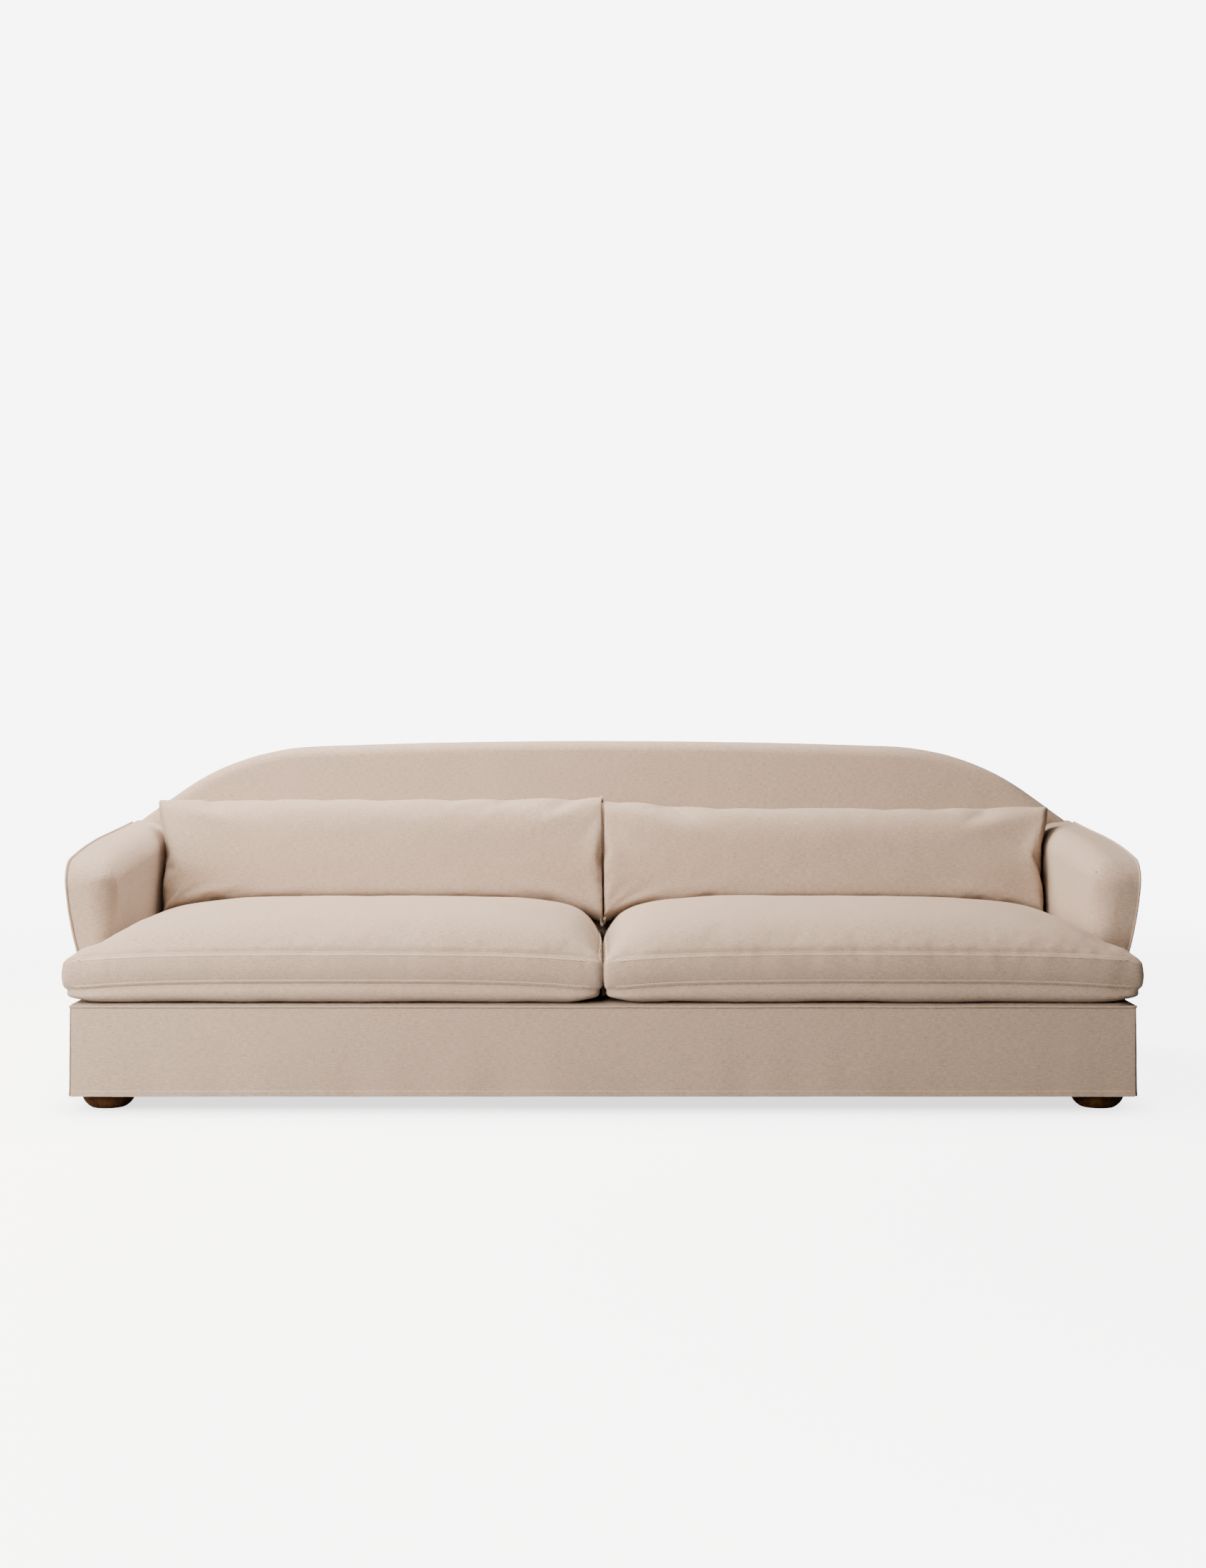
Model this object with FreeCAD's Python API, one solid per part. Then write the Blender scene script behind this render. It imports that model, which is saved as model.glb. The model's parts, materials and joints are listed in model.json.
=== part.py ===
import FreeCAD, Part
import math
import os
from FreeCAD import Vector

# A slipcovered sofa: a hardwood frame with sinuous springs and foam, a loose linen cover with a
# skirt, two T-shaped seat cushions, two long lumbar pillows and four turned bun feet.
# Millimetres. X runs along the sofa, -Y is its front, +Z is up, and the floor is Z = 0.
# "left" is the side at -X, the left of someone who faces the sofa.

# Overall sizes
arm_span = 2502.0           # width over the arms at their widest, near the top
base_depth = 1004.0         # depth of the upholstered base, under the cover's skirt
back_height = 829.0         # floor to the top of the arched back

# Cloth and clearances
cloth = 2.5                 # thickness of the slipcover cloth with its lining
ease = 0.5                  # air between one soft layer and the next
hair = 0.3                  # air beside a seam, a zip or a piece of hardware
welt_radius = 3.0           # piping cord in its cloth sleeve
cushion_gap = 8.0           # between the two seat cushions
cushion_clearance = 5.0     # between a cushion or pillow and what is beside it

# Arms
arm_flare = 53.0            # how far each arm's top stands out past the base
flank_flare = 30.0          # the same at flank_height, where the flare changes
flank_height = 360.0
arm_thickness = 52.0        # at the deck
arm_front_setback = 162.0   # from the base's front to the arm's front
arm_front_top = 570.0       # height of the arm's outer top edge at its front
arm_rear_top = 614.0        # the same edge where it meets the back
arm_nose_radius = 60.0      # rounding of the arm's front, on its inner side and its top
arm_roll_radius = 62.0      # rounding of the arm's inner top edge
arm_nose_roll_radius = 25.0  # the same edge at the arm's very front
arm_edge_radius = 3.0       # outer top edge, under the welt
foot_turn_radius = 90.0     # where the sides start to flare, above the base welt
flank_turn_radius = 400.0   # where the flare changes

# Back
back_foot_depth = 277.0     # depth of the back at the deck
back_top_depth = 108.8      # the same at its top, where its leaning face would meet it unrounded
shoulder_inset = 216.0      # from the base's side in to the corner of the arch, before rounding
shoulder_reach = 184.4       # how much of each side of that corner its rounding takes
crown_slope = 0.041         # slope of the top where it enters the shoulder
crown_inset = 206.0         # from the arch's corner in to the end of the top arc
haunch_drop = 8.0           # from the arm's rear top down to where the arch meets the flank
haunch_radius = 50.0
back_roll_radius = 42.0     # rounding of the back's top front edge
back_edge_radius = 22.0     # rounding of the back's rear edge, under its welt

# Wooden frame
rail_thickness = 32.0
rail_height = 145.0
stretcher_count = 2
stretcher_height = 70.0
stretcher_thickness = 28.0
stretcher_lift = 12.0       # from the rails' lower edge
block_leg = 130.0           # legs of the triangular corner blocks
block_height = 45.0
post_thickness = 30.0
post_side_pad = 6.0         # from the rails' outer face in to the posts
arm_post_depth = 60.0
arm_pad_top = 44.0          # foam above the arm's top rail
arm_pad_front = 38.0        # foam before the arm's front post
arm_pad_side = 17.0         # foam outside the arm's top rail
arm_rail_thickness = 28.0
arm_board_thickness = 3.0
back_pad_front = 60.0       # foam before the back's webbing
back_pad_top = 46.0
back_pad_rear = 12.0
upright_count = 3
upright_depth = 36.0
arch_rail_depth = 30.0
arch_rail_height = 64.0
lower_rail_depth = 28.0
lower_rail_height = 50.0
lower_rail_lift = 92.0      # from the base's top up to the lower rail
gusset_height = 190.0
gusset_heel = 60.0          # height of the gussets' rear edge
gusset_tip = 12.0
back_board_thickness = 3.0

# Springs, webbing and the layers of the deck
spring_count = 16
spring_margin = 96.0        # from the arm's inner face to the first spring's centre
spring_wire_radius = 2.0
spring_runs = 37            # straight runs of each zigzag, one in each clip at its ends
spring_run_length = 40.0
spring_rail_setback = 8.5   # from the uprights' foot back to the rail that the springs end on
clip_width = 24.0
clip_depth = 14.0
clip_height = 8.0
strap_width = 50.0
strap_thickness = 1.5
strap_pitch = 116.0
straps_per_bay = 4
strap_lap = 38.0            # how far each strap's top end lies over the arched rail
strap_foot = 6.0            # from the lower rail's lower edge up to the straps' ends
felt_thickness = 2.5
deck_foam = 13.3
dust_cover_thickness = 1.2

# Feet
foot_height = 70.0
foot_radius = 61.0
foot_belly_share = 0.6      # where the bun is widest, as a share of its height
foot_tread_radius = 39.0
foot_neck_radius = 47.0
foot_inset_x = 68.0         # from the base's side to the foot's axis
foot_inset_y = 72.0
foot_hole_gap = 5.0         # between the foot's neck and the hole in the dust cover
glide_radius = 13.0
glide_thickness = 1.6
bolt_radius = 4.0
bolt_bite = 32.0            # how far the hanger bolt enters the foot
nut_wall = 1.5              # thickness of the tee nut's barrel and flange
nut_flange_reach = 5.0      # from the barrel out to the flange's rim
nut_barrel_length = 12.0

# Skirt
skirt_seam_drop = 8.5       # from the deck down to the seam under the base welt
skirt_hem = 36.0            # floor to the skirt's hem
skirt_flare = 5.0           # how far the hem hangs out
skirt_wave = 3.0            # depth of the skirt's soft folds at the hem
skirt_fold_length = 200.0   # about one fold each
strip_width = 25.0          # hook-and-loop strips that hold the skirt to the rails
strip_thickness = 2.8
strip_drop = 5.0            # from the rails' top down to the strips
strip_margin = 90.0         # from a rail's end to the strip's end
deck_lip = 8.0              # how far the deck's cloth hangs down behind the skirt

# Seat cushions
ear_overhang = 15.0         # how far each cushion's ear stands out past the base's side
cushion_overhang = 13.5     # how far the cushion's front stands before the base
cushion_rear_gap = 4.0      # between the cushion's rear and the inside back
sole_depth = 47.7           # from the lower seam down to the cushion's sole
boxing_height = 72.0        # between the two seams
boxing_bulge = 5.0
cushion_crown = 92.0        # rise of the top above the upper seam
seam_lip = 2.5              # rise of the top right at a soft end
cushion_shoulder = 80.0     # how slowly the top rises from the seam at the centre
arm_shoulder = 120.0        # how slowly it rises beside the arm
arm_side_crown = 27.0       # rise of the top right beside the arm
ear_crown = 17.0            # rise of the ear's top above the upper seam
ear_shoulder = 26.0
ear_lap = 70.0              # how far the ear runs into the cushion's body
end_draw = 7.0              # how far the front and rear draw in at a soft end
draw_reach = 60.0
crown_run = 150.0           # from the front seam to where the top is nearly level
sole_run = 46.0             # from the lower seam in to the flat sole

# Lumbar pillows
pillow_height = 322.0
pillow_thickness = 160.0
pillow_lift = 4.5           # from the cushion's upper seam up to the pillow's lower corners
pillow_push = 0.48          # the lower edge's rise between its corners, as a share of the crown
pillow_top_sag = 14.0
pillow_edge = 8.0           # thickness at its seam
pillow_end_shoulder = 78.0  # how slowly the pillow thickens from its end seams
pillow_top_shoulder = 90.0
pillow_foot_shoulder = 62.0
pillow_arm_lift = 12.0      # how much higher its lower corner beside the arm is than its inner one

# Zips
zip_tape = 1.2
zip_tape_width = 24.0
zip_teeth_width = 5.0
zip_teeth_height = 2.2
zip_slider_length = 13.0
zip_slider_wall = 1.3
seat_zip_margin = 120.0     # from each end of the cushion's body
pillow_zip_margin = 216.0

# Sizes that follow from those above
base_half_x = arm_span / 2 - arm_flare
base_half_y = base_depth / 2
front_y = -base_half_y
arm_front_y = front_y + arm_front_setback
arm_inner_x = base_half_x - arm_thickness
back_face_y = base_half_y - back_foot_depth
rail_inset = strip_thickness + ease + hair
frame_half_x = base_half_x - rail_inset
frame_half_y = base_half_y - rail_inset
rail_bottom = foot_height
rail_top = rail_bottom + rail_height
spring_top = rail_top + clip_height + ease
foam_bottom = spring_top + felt_thickness + ease
deck_height = foam_bottom + deck_foam + ease + cloth
back_lean = (back_foot_depth - back_top_depth) / (back_height - deck_height)
lean_angle = math.atan(back_lean)
soft_bottom = rail_top + ease
open_bottom = soft_bottom - 5  # where the insides of shells start, so that they are open below
skirt_top = deck_height - skirt_seam_drop
pad_inset = cloth + ease
haunch_height = arm_rear_top - haunch_drop
shoulder_x = base_half_x - shoulder_inset
crown_reach = shoulder_x - crown_inset
crown_radius = crown_reach / crown_slope
apex_z = back_height + crown_radius * (1 / math.cos(math.atan(crown_slope)) - 1)
shoulder_z = apex_z - crown_slope * shoulder_x
foot_x = base_half_x - foot_inset_x
foot_y = base_half_y - foot_inset_y
post_outer_x = frame_half_x - post_side_pad
post_inner_x = post_outer_x - post_thickness
welt_out = (welt_radius + hair) * 0.72  # a welt's axis from each face of the edge that it lies on
flank_foot = skirt_top + 2 * welt_radius + 1.0  # where the sides start to flare
seam_low = deck_height + ease + sole_depth
seam_high = seam_low + boxing_height
pillow_rise = cushion_crown * pillow_push
body_length = arm_inner_x - cushion_clearance - cushion_gap / 2
half_seat_x = (arm_inner_x + cushion_gap / 2) / 2  # middle of each half of the seat
pillow_length = body_length - cushion_clearance
wide = 2 * arm_span         # half size of cutting tools that take in the whole sofa
past = 60.0                 # how far a smaller cutting tool goes past what it cuts


def box(x0, x1, y0, y1, z0, z1):
    return Part.makeBox(x1 - x0, y1 - y0, z1 - z0, Vector(x0, y0, z0))


def mirrored(shape):
    return shape.mirror(Vector(0, 0, 0), Vector(1, 0, 0))


def inset_outline(points, distance):
    """An anticlockwise outline with each side moved inwards."""
    moved = []
    for i, (px, py) in enumerate(points):
        ax, ay = points[i - 1]
        bx, by = points[(i + 1) % len(points)]
        d1 = Vector(px - ax, py - ay, 0).normalize()
        d2 = Vector(bx - px, by - py, 0).normalize()
        bisector = Vector(-d1.y - d2.y, d1.x + d2.x, 0)
        reach = 2 * distance / bisector.dot(bisector)
        moved.append((px + bisector.x * reach, py + bisector.y * reach))
    return moved


def rounded_edges(points, radii, place):
    """Edges of a closed outline whose corners are tangent arcs; place turns (u, v) into a point."""
    starts, ends, middles = [], [], []
    for i, radius in enumerate(radii):
        corner = Vector(*points[i], 0)
        to_last = (Vector(*points[i - 1], 0) - corner).normalize()
        to_next = (Vector(*points[(i + 1) % len(points)], 0) - corner).normalize()
        half_turn = (math.pi - math.acos(max(-1.0, min(1.0, to_last.dot(to_next))))) / 2
        reach = radius * math.tan(half_turn)
        starts.append(corner + to_last * reach)
        ends.append(corner + to_next * reach)
        inward = (to_last + to_next).normalize()
        middles.append(corner + inward * (radius / math.cos(half_turn) - radius))
    edges = []
    for i, radius in enumerate(radii):
        if radius > 0:
            arc = [place(p.x, p.y) for p in (starts[i], middles[i], ends[i])]
            edges.append(Part.Arc(*arc).toShape())
        following = starts[(i + 1) % len(points)]
        if (following - ends[i]).Length > 1e-6:
            line = place(ends[i].x, ends[i].y), place(following.x, following.y)
            edges.append(Part.LineSegment(*line).toShape())
    return edges


def prism(points, radii, place, direction):
    wire = Part.Wire(rounded_edges(points, radii, place))
    return Part.Face(wire).extrude(direction)


def prism_x(points, x0, x1, radii=None):
    """A solid from an outline in Y and Z, from x0 to x1."""
    return prism(points, radii or [0] * len(points), lambda y, z: Vector(x0, y, z), Vector(x1 - x0, 0, 0))


def prism_y(points, y0, y1, radii=None):
    """A solid from an outline in X and Z, from y0 to y1."""
    return prism(points, radii or [0] * len(points), lambda x, z: Vector(x, y0, z), Vector(0, y1 - y0, 0))


def prism_z(points, z0, z1, radii=None):
    """A solid from an outline in X and Y, from z0 to z1."""
    return prism(points, radii or [0] * len(points), lambda x, y: Vector(x, y, z0), Vector(0, 0, z1 - z0))


def tube(points, radius, bends):
    """A round cord along straight runs joined by tangent arcs."""
    edges, last = [], points[0]
    for i in range(1, len(points) - 1):
        corner = points[i]
        back = (points[i - 1] - corner).normalize()
        ahead = (points[i + 1] - corner).normalize()
        half_turn = (math.pi - math.acos(max(-1.0, min(1.0, back.dot(ahead))))) / 2
        reach = bends[i - 1] * math.tan(half_turn)
        inward = (back + ahead).normalize()
        middle = corner + inward * (bends[i - 1] / math.cos(half_turn) - bends[i - 1])
        start, end = corner + back * reach, corner + ahead * reach
        edges.append(Part.LineSegment(last, start).toShape())
        edges.append(Part.Arc(start, middle, end).toShape())
        last = end
    edges.append(Part.LineSegment(last, points[-1]).toShape())
    path = Part.Wire(edges)
    circle = Part.Wire(Part.makeCircle(radius, points[0], points[1] - points[0]))
    return path.makePipeShell([circle], True, False)


def back_face(z):
    """Y of the inside back's face at a height."""
    return back_face_y + back_lean * (z - deck_height)


def arm_slope():
    return (arm_rear_top - arm_front_top) / (back_face(arm_rear_top) - arm_front_y)


def arm_top(y):
    """Height of the arm's outer top edge."""
    return arm_front_top + arm_slope() * (y - arm_front_y)


def flank_x(z):
    """X of the arm's and the back's outer side at a height above flank_height."""
    rise_share = (z - flank_height) / (arm_rear_top - flank_height)
    return base_half_x + flank_flare + (arm_flare - flank_flare) * rise_share


# The back

def shoulder_radius():
    """The radius that takes shoulder_reach of each side of the arch's corner."""
    rise = math.atan2(shoulder_z - haunch_height, flank_x(haunch_height) - shoulder_x)
    return shoulder_reach / math.tan((rise - math.atan(crown_slope)) / 2)


def arch_outline(bottom):
    """The back from the front, anticlockwise from its lower right corner, with its radii."""
    right = [(base_half_x, bottom), (base_half_x, flank_foot), (flank_x(flank_height), flank_height),
             (flank_x(haunch_height), haunch_height), (shoulder_x, shoulder_z)]
    radii = [0, foot_turn_radius, flank_turn_radius, haunch_radius, shoulder_radius()]
    points = right + [(0, apex_z)] + [(-x, z) for x, z in reversed(right)]
    return points, radii + [crown_radius] + radii[::-1]


def arch_prism(inset, bottom, y0, y1):
    """The back's outline made smaller by inset, as a solid from y0 to y1."""
    points, radii = arch_outline(bottom)
    points = inset_outline(points, inset)
    points[0], points[-1] = (points[0][0], bottom), (points[-1][0], bottom)
    return prism_y(points, y0, y1, [max(0, r - inset) for r in radii])


def back_body(inset, bottom, front=None, rear=None, top=None):
    """The back's outer form, made smaller all round by inset, with sharp edges."""
    front = inset if front is None else front
    rear = inset if rear is None else rear
    top = inset if top is None else top
    slope = front / math.cos(lean_angle)
    high = back_height + past
    side = [(back_face(bottom) + slope, bottom), (base_half_y - rear, bottom),
            (base_half_y - rear, high), (back_face(high) + slope, high)]
    arch = arch_prism(top, bottom, back_face_y - past, base_half_y + past)
    return arch.common(prism_x(side, -wide / 2, wide / 2))


def back_form(inset, bottom):
    """The back's outer form with its rolled front edge and its rounded rear edge."""
    body = back_body(inset, bottom)
    front_edges = []
    for edge in body.Edges:
        if max(v.Point.z for v in edge.Vertexes) < bottom + 1:
            continue
        gaps = [v.Point.y - back_face(v.Point.z) - inset / math.cos(lean_angle) for v in edge.Vertexes]
        if max(abs(g) for g in gaps) < 0.01:
            front_edges.append(edge)
    body = body.makeFillet(back_roll_radius - inset, front_edges)
    rear_edges = []
    for edge in body.Edges:
        if min(v.Point.y for v in edge.Vertexes) > base_half_y - inset - 0.01:
            if max(v.Point.z for v in edge.Vertexes) > bottom + 1:
                rear_edges.append(edge)
    body = body.makeFillet(back_edge_radius - inset, rear_edges)
    return body


# The arms, modelled at +X and mirrored for the left one

def arm_section(y, turn, inset, bottom, top):
    """The arm's outline in X and Z at one place; turn is 0 at its very front and 1 along its run."""
    bend = math.sin(turn * math.pi / 2)
    draw = (arm_nose_radius - inset) * (1 - bend)
    inner = arm_inner_x + inset
    points = [(inner + draw * 0.5, bottom), (base_half_x - inset, bottom),
              (base_half_x - inset, flank_foot), (flank_x(flank_height) - inset, flank_height),
              (flank_x(top) - inset, top), (inner + draw, top)]
    edge = max(hair, arm_edge_radius - inset)
    roll = arm_nose_roll_radius + (arm_roll_radius - arm_nose_roll_radius) * bend - inset
    roll = min(roll, 0.9 * (flank_x(top) - inset - edge - inner - draw))
    radii = [0, 0, foot_turn_radius, flank_turn_radius, edge, roll]
    return Part.Wire(rounded_edges(points, radii, lambda x, z: Vector(x, y, z)))


def arm_form(inset, bottom, entry):
    """The right arm's outer form, made smaller by inset, from its front to entry behind the back's face."""
    slope = math.atan(arm_slope())
    radius = arm_nose_radius - inset
    centre_y = arm_front_y + arm_nose_radius
    centre_z = arm_top(centre_y) - arm_nose_radius / math.cos(slope)
    nose = []
    for turn in (0, 0.22, 0.45, 0.7, 1):
        y = centre_y - radius * math.cos(turn * math.pi / 2)
        across = centre_z + radius * math.sin(turn * (math.pi / 2 - slope))
        top = across if turn < 1 else arm_top(y) - inset / math.cos(slope)
        nose.append(arm_section(y, turn, inset, bottom, top))
    rear_y = base_half_y - back_edge_radius
    run_rear = arm_section(rear_y, 1, inset, bottom, arm_top(rear_y) - inset / math.cos(slope))
    front = Part.makeLoft(nose, True, False)
    run = Part.makeLoft([nose[-1], run_rear], True, True)
    reach = entry / math.cos(lean_angle)
    low = bottom - past
    behind = [(back_face(low) + reach, low), (wide, low),
              (wide, back_height), (back_face(back_height) + reach, back_height)]
    return front, run.cut(prism_x(behind, 0, wide / 2))


def arm_cloth(back_outside, void):
    """The arm's cover as a shell, open below and where it meets the back."""
    front, run = arm_form(0, soft_bottom, back_roll_radius)
    front_core, run_core = arm_form(cloth, open_bottom, back_roll_radius + past)
    return front.cut(front_core).fuse(run.cut(run_core).cut(back_outside)).cut(void)


def flank_slab(depth, grow):
    """The outermost depth of the right side, as far as the arm's outside panel goes, with room round it."""
    low, high = soft_bottom - grow, back_height
    shapes = []
    for inset, y0, y1 in ((-grow, -base_half_y, base_half_y), (depth, -wide, wide)):
        outline = [(0, low - inset - 1), (base_half_x - inset, low - inset - 1),
                   (base_half_x - inset, flank_foot), (flank_x(flank_height) - inset, flank_height),
                   (flank_x(high) - inset, high + inset), (0, high + inset)]
        shapes.append(prism_y(outline, y0, y1, [0, 0, foot_turn_radius, flank_turn_radius, 0, 0]))
    y0, y1 = arm_front_y + cloth + ease - grow, base_half_y - back_edge_radius - ease + grow
    margin = cloth + ease - grow
    side = [(y0, low), (y1, low), (y1, arm_top(y1) - margin), (y0, arm_top(y0) - margin)]
    region = prism_x(side, 0, wide / 2, [0, 0, 0, arm_nose_radius - margin])
    under = low - past
    before = [(-wide, under), (back_face(under), under), (back_face(high), high), (-wide, high)]
    within = prism_x(before, 0, wide / 2).fuse(arch_prism(-grow, under, -wide / 2, wide / 2))
    return shapes[0].cut(shapes[1]).common(region).common(within)


def upright_front(z):
    """Y of the front of the back's uprights."""
    return back_face(z) + (back_pad_front + strap_thickness + ease) / math.cos(lean_angle)


def arm_rail_end(under):
    """Where a line that lies under the arm's top edge meets the back's end post."""
    y = upright_front(arm_top(0) - under) / (1 - back_lean * arm_slope())
    return y, arm_top(y) - under


def arm_rail_outline(grow):
    """Side view of the arm's top rail, from its front post to the back's end post."""
    y0 = arm_front_y + arm_pad_front - grow
    high, low = arm_pad_top - grow, arm_pad_top + arm_rail_thickness + grow
    return [(y0, arm_top(y0) - low), arm_rail_end(low), arm_rail_end(high), (y0, arm_top(y0) - high)]


def arm_rail_outer():
    return flank_x(arm_front_top - arm_pad_top - arm_rail_thickness) - pad_inset - arm_pad_side


def arm_frame_void():
    """Room for the arm's frame inside its foam, and where its rail passes into the back."""
    x0, x1 = post_inner_x - arm_board_thickness - ease, post_outer_x + ease
    rail = arm_rail_outline(ease)
    side = [(rail[0][0], open_bottom), (upright_front(open_bottom), open_bottom), rail[1], rail[0]]
    return prism_x(side, x0, x1).fuse(prism_x(rail, x0, arm_rail_outer() + ease))


def arm_frame():
    """The right arm's front post, its top rail and its inner board."""
    y0 = arm_front_y + arm_pad_front
    y1 = y0 + arm_post_depth
    y2 = back_face(deck_height) - ease
    under = arm_pad_top + arm_rail_thickness
    post = prism_x([(y0, rail_top), (y1, rail_top), (y1, arm_top(y1) - under), (y0, arm_top(y0) - under)],
                   post_inner_x, post_outer_x)
    top_rail = prism_x(arm_rail_outline(0), post_inner_x, arm_rail_outer())
    low = deck_height + ease
    board = prism_x([(y0, low), (y2, low), (y2, arm_top(y2) - under), (y0, arm_top(y0) - under)],
                    post_inner_x - arm_board_thickness, post_inner_x)
    return post, top_rail, board


# The back's frame, which leans with the back

def leaning_slab(x0, x1, front, thickness, z0, z1):
    """A board that leans with the back, front being its distance behind the uprights' front."""
    near, far = front / math.cos(lean_angle), (front + thickness) / math.cos(lean_angle)
    side = [(upright_front(z0) + near, z0), (upright_front(z0) + far, z0),
            (upright_front(z1) + far, z1), (upright_front(z1) + near, z1)]
    return prism_x(side, x0, x1)


def under_arch(inset):
    return arch_prism(inset, rail_bottom, back_face_y - past, base_half_y + past)


def upright_places():
    """X of the uprights, which share the space between the end posts evenly."""
    bay = 2 * post_inner_x / (upright_count + 1)
    return [-post_inner_x + (i + 1) * bay for i in range(upright_count)]


def back_bays():
    """The clear spaces between the back's posts and uprights."""
    half = post_thickness / 2
    starts = [-post_inner_x] + [x + half for x in upright_places()]
    ends = [x - half for x in upright_places()] + [post_inner_x]
    return list(zip(starts, ends))


def back_frame():
    """Arched top rail, uprights with their end posts, lower rail and gussets."""
    high = back_height + past
    top = back_pad_top + ease
    half = post_thickness / 2
    low = rail_top + lower_rail_lift + lower_rail_height
    rail = leaning_slab(-post_inner_x, post_inner_x, 0, arch_rail_depth, low, high)
    rail = rail.common(under_arch(top)).cut(under_arch(top + arch_rail_height))
    rail = max(rail.Solids, key=lambda solid: solid.Volume)
    uprights = [leaning_slab(x - half, x + half, 0, upright_depth, rail_top, high) for x in upright_places()]
    uprights = [u.common(under_arch(top + arch_rail_height)) for u in uprights]
    right_end = leaning_slab(post_inner_x, post_outer_x, 0, upright_depth, rail_top, haunch_height)
    z0 = low - lower_rail_height
    lower = [leaning_slab(x0, x1, 0, lower_rail_depth, z0, low) for x0, x1 in back_bays()]
    behind = upright_depth / math.cos(lean_angle)
    rear = base_half_y - back_pad_rear - back_board_thickness - 2 * ease
    z1 = rail_top + gusset_height
    gusset = [(upright_front(rail_top) + behind, rail_top), (rear, rail_top), (rear, rail_top + gusset_heel),
              (upright_front(z1) + behind + gusset_tip, z1), (upright_front(z1) + behind, z1)]
    gussets = [prism_x(gusset, x - half, x + half) for x in upright_places()]
    right_gusset = prism_x(gusset, post_inner_x, post_outer_x)
    gussets += [right_gusset, mirrored(right_gusset)]
    return rail, uprights + [mirrored(right_end), right_end], lower, gussets


def back_straps():
    """Elastic webbing between the lower rail and the arched rail, on their front faces."""
    straps = []
    low = rail_top + lower_rail_lift + strap_foot
    for x0, x1 in back_bays():
        for k in range(straps_per_bay):
            x = (x0 + x1) / 2 + (k - (straps_per_bay - 1) / 2) * strap_pitch
            strap = leaning_slab(x - strap_width / 2, x + strap_width / 2, -strap_thickness,
                                 strap_thickness, low, back_height)
            straps.append(strap.common(under_arch(back_pad_top + arch_rail_height - strap_lap)))
    return straps


def back_cavity():
    """Room for the back's frame inside its padding, with its end posts and its arch."""
    hollow = back_body(0, open_bottom, back_pad_front, back_pad_rear, back_pad_top)
    end = leaning_slab(post_inner_x - ease, post_outer_x + ease, -strap_thickness - ease,
                       upright_depth + strap_thickness + 2 * ease, open_bottom, haunch_height + ease)
    rear = base_half_y - back_pad_rear
    foot = box(post_inner_x - ease, post_outer_x + ease, upright_front(soft_bottom), rear,
               open_bottom, rail_top + gusset_height + ease)
    return hollow.fuse(end).fuse(mirrored(end)).fuse(foot).fuse(mirrored(foot))


# The base

def spring_rail_y():
    return upright_front(rail_top) + spring_rail_setback


def base_rails():
    """Front and back rails, end rails, and the inner rail and stretchers."""
    t, hx, hy = rail_thickness, frame_half_x, frame_half_y
    front = box(-hx, hx, -hy, -hy + t, rail_bottom, rail_top)
    back = box(-hx, hx, hy - t, hy, rail_bottom, rail_top)
    end = box(hx - t, hx, -hy + t, hy - t, rail_bottom, rail_top)
    inner = [box(-hx + t, hx - t, spring_rail_y(), spring_rail_y() + t, rail_bottom, rail_top)]
    half = stretcher_thickness / 2
    z0 = rail_bottom + stretcher_lift
    for i in range(stretcher_count):
        x = -hx + 2 * hx * (i + 1) / (stretcher_count + 1)
        inner.append(box(x - half, x + half, -hy + t, spring_rail_y(), z0, z0 + stretcher_height))
    return [front, back], [mirrored(end), end], inner


def foot_places():
    return [("front_left", -foot_x, -foot_y), ("front_right", foot_x, -foot_y),
            ("rear_left", -foot_x, foot_y), ("rear_right", foot_x, foot_y)]


def corner_block(x, y):
    """A triangular block in a corner of the base, bored for the foot's bolt and tee nut."""
    sx, sy = math.copysign(1, x), math.copysign(1, y)
    cx, cy = sx * (frame_half_x - rail_thickness), sy * (frame_half_y - rail_thickness)
    corner = [(cx, cy), (cx - sx * block_leg, cy), (cx, cy - sy * block_leg)]
    if sx * sy < 0:
        corner.reverse()
    top = rail_bottom + block_height
    block = prism_z(corner, rail_bottom, top)
    barrel = Part.makeCylinder(nut_barrel_radius() + hair, nut_barrel_length + ease,
                               Vector(x, y, top - nut_barrel_length - ease))
    bolt = Part.makeCylinder(bolt_radius + ease, block_height, Vector(x, y, rail_bottom))
    return block.cut(barrel).cut(bolt)


def nut_barrel_radius():
    return bolt_radius + hair / 2 + nut_wall


def tee_nut(x, y):
    """A tee nut pressed into the block from above, its flange on the block."""
    top = rail_bottom + block_height
    radius = nut_barrel_radius()
    flange = Part.makeCylinder(radius + nut_flange_reach, nut_wall, Vector(x, y, top))
    barrel = Part.makeCylinder(radius, nut_barrel_length, Vector(x, y, top - nut_barrel_length))
    bore = Part.makeCylinder(bolt_radius + hair / 2, block_height, Vector(x, y, top - nut_barrel_length - 1))
    return flange.fuse(barrel).cut(bore)


def hanger_bolt(x, y):
    low = foot_height - bolt_bite
    length = rail_bottom + block_height + nut_wall - low
    return Part.makeCylinder(bolt_radius, length, Vector(x, y, low))


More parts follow.
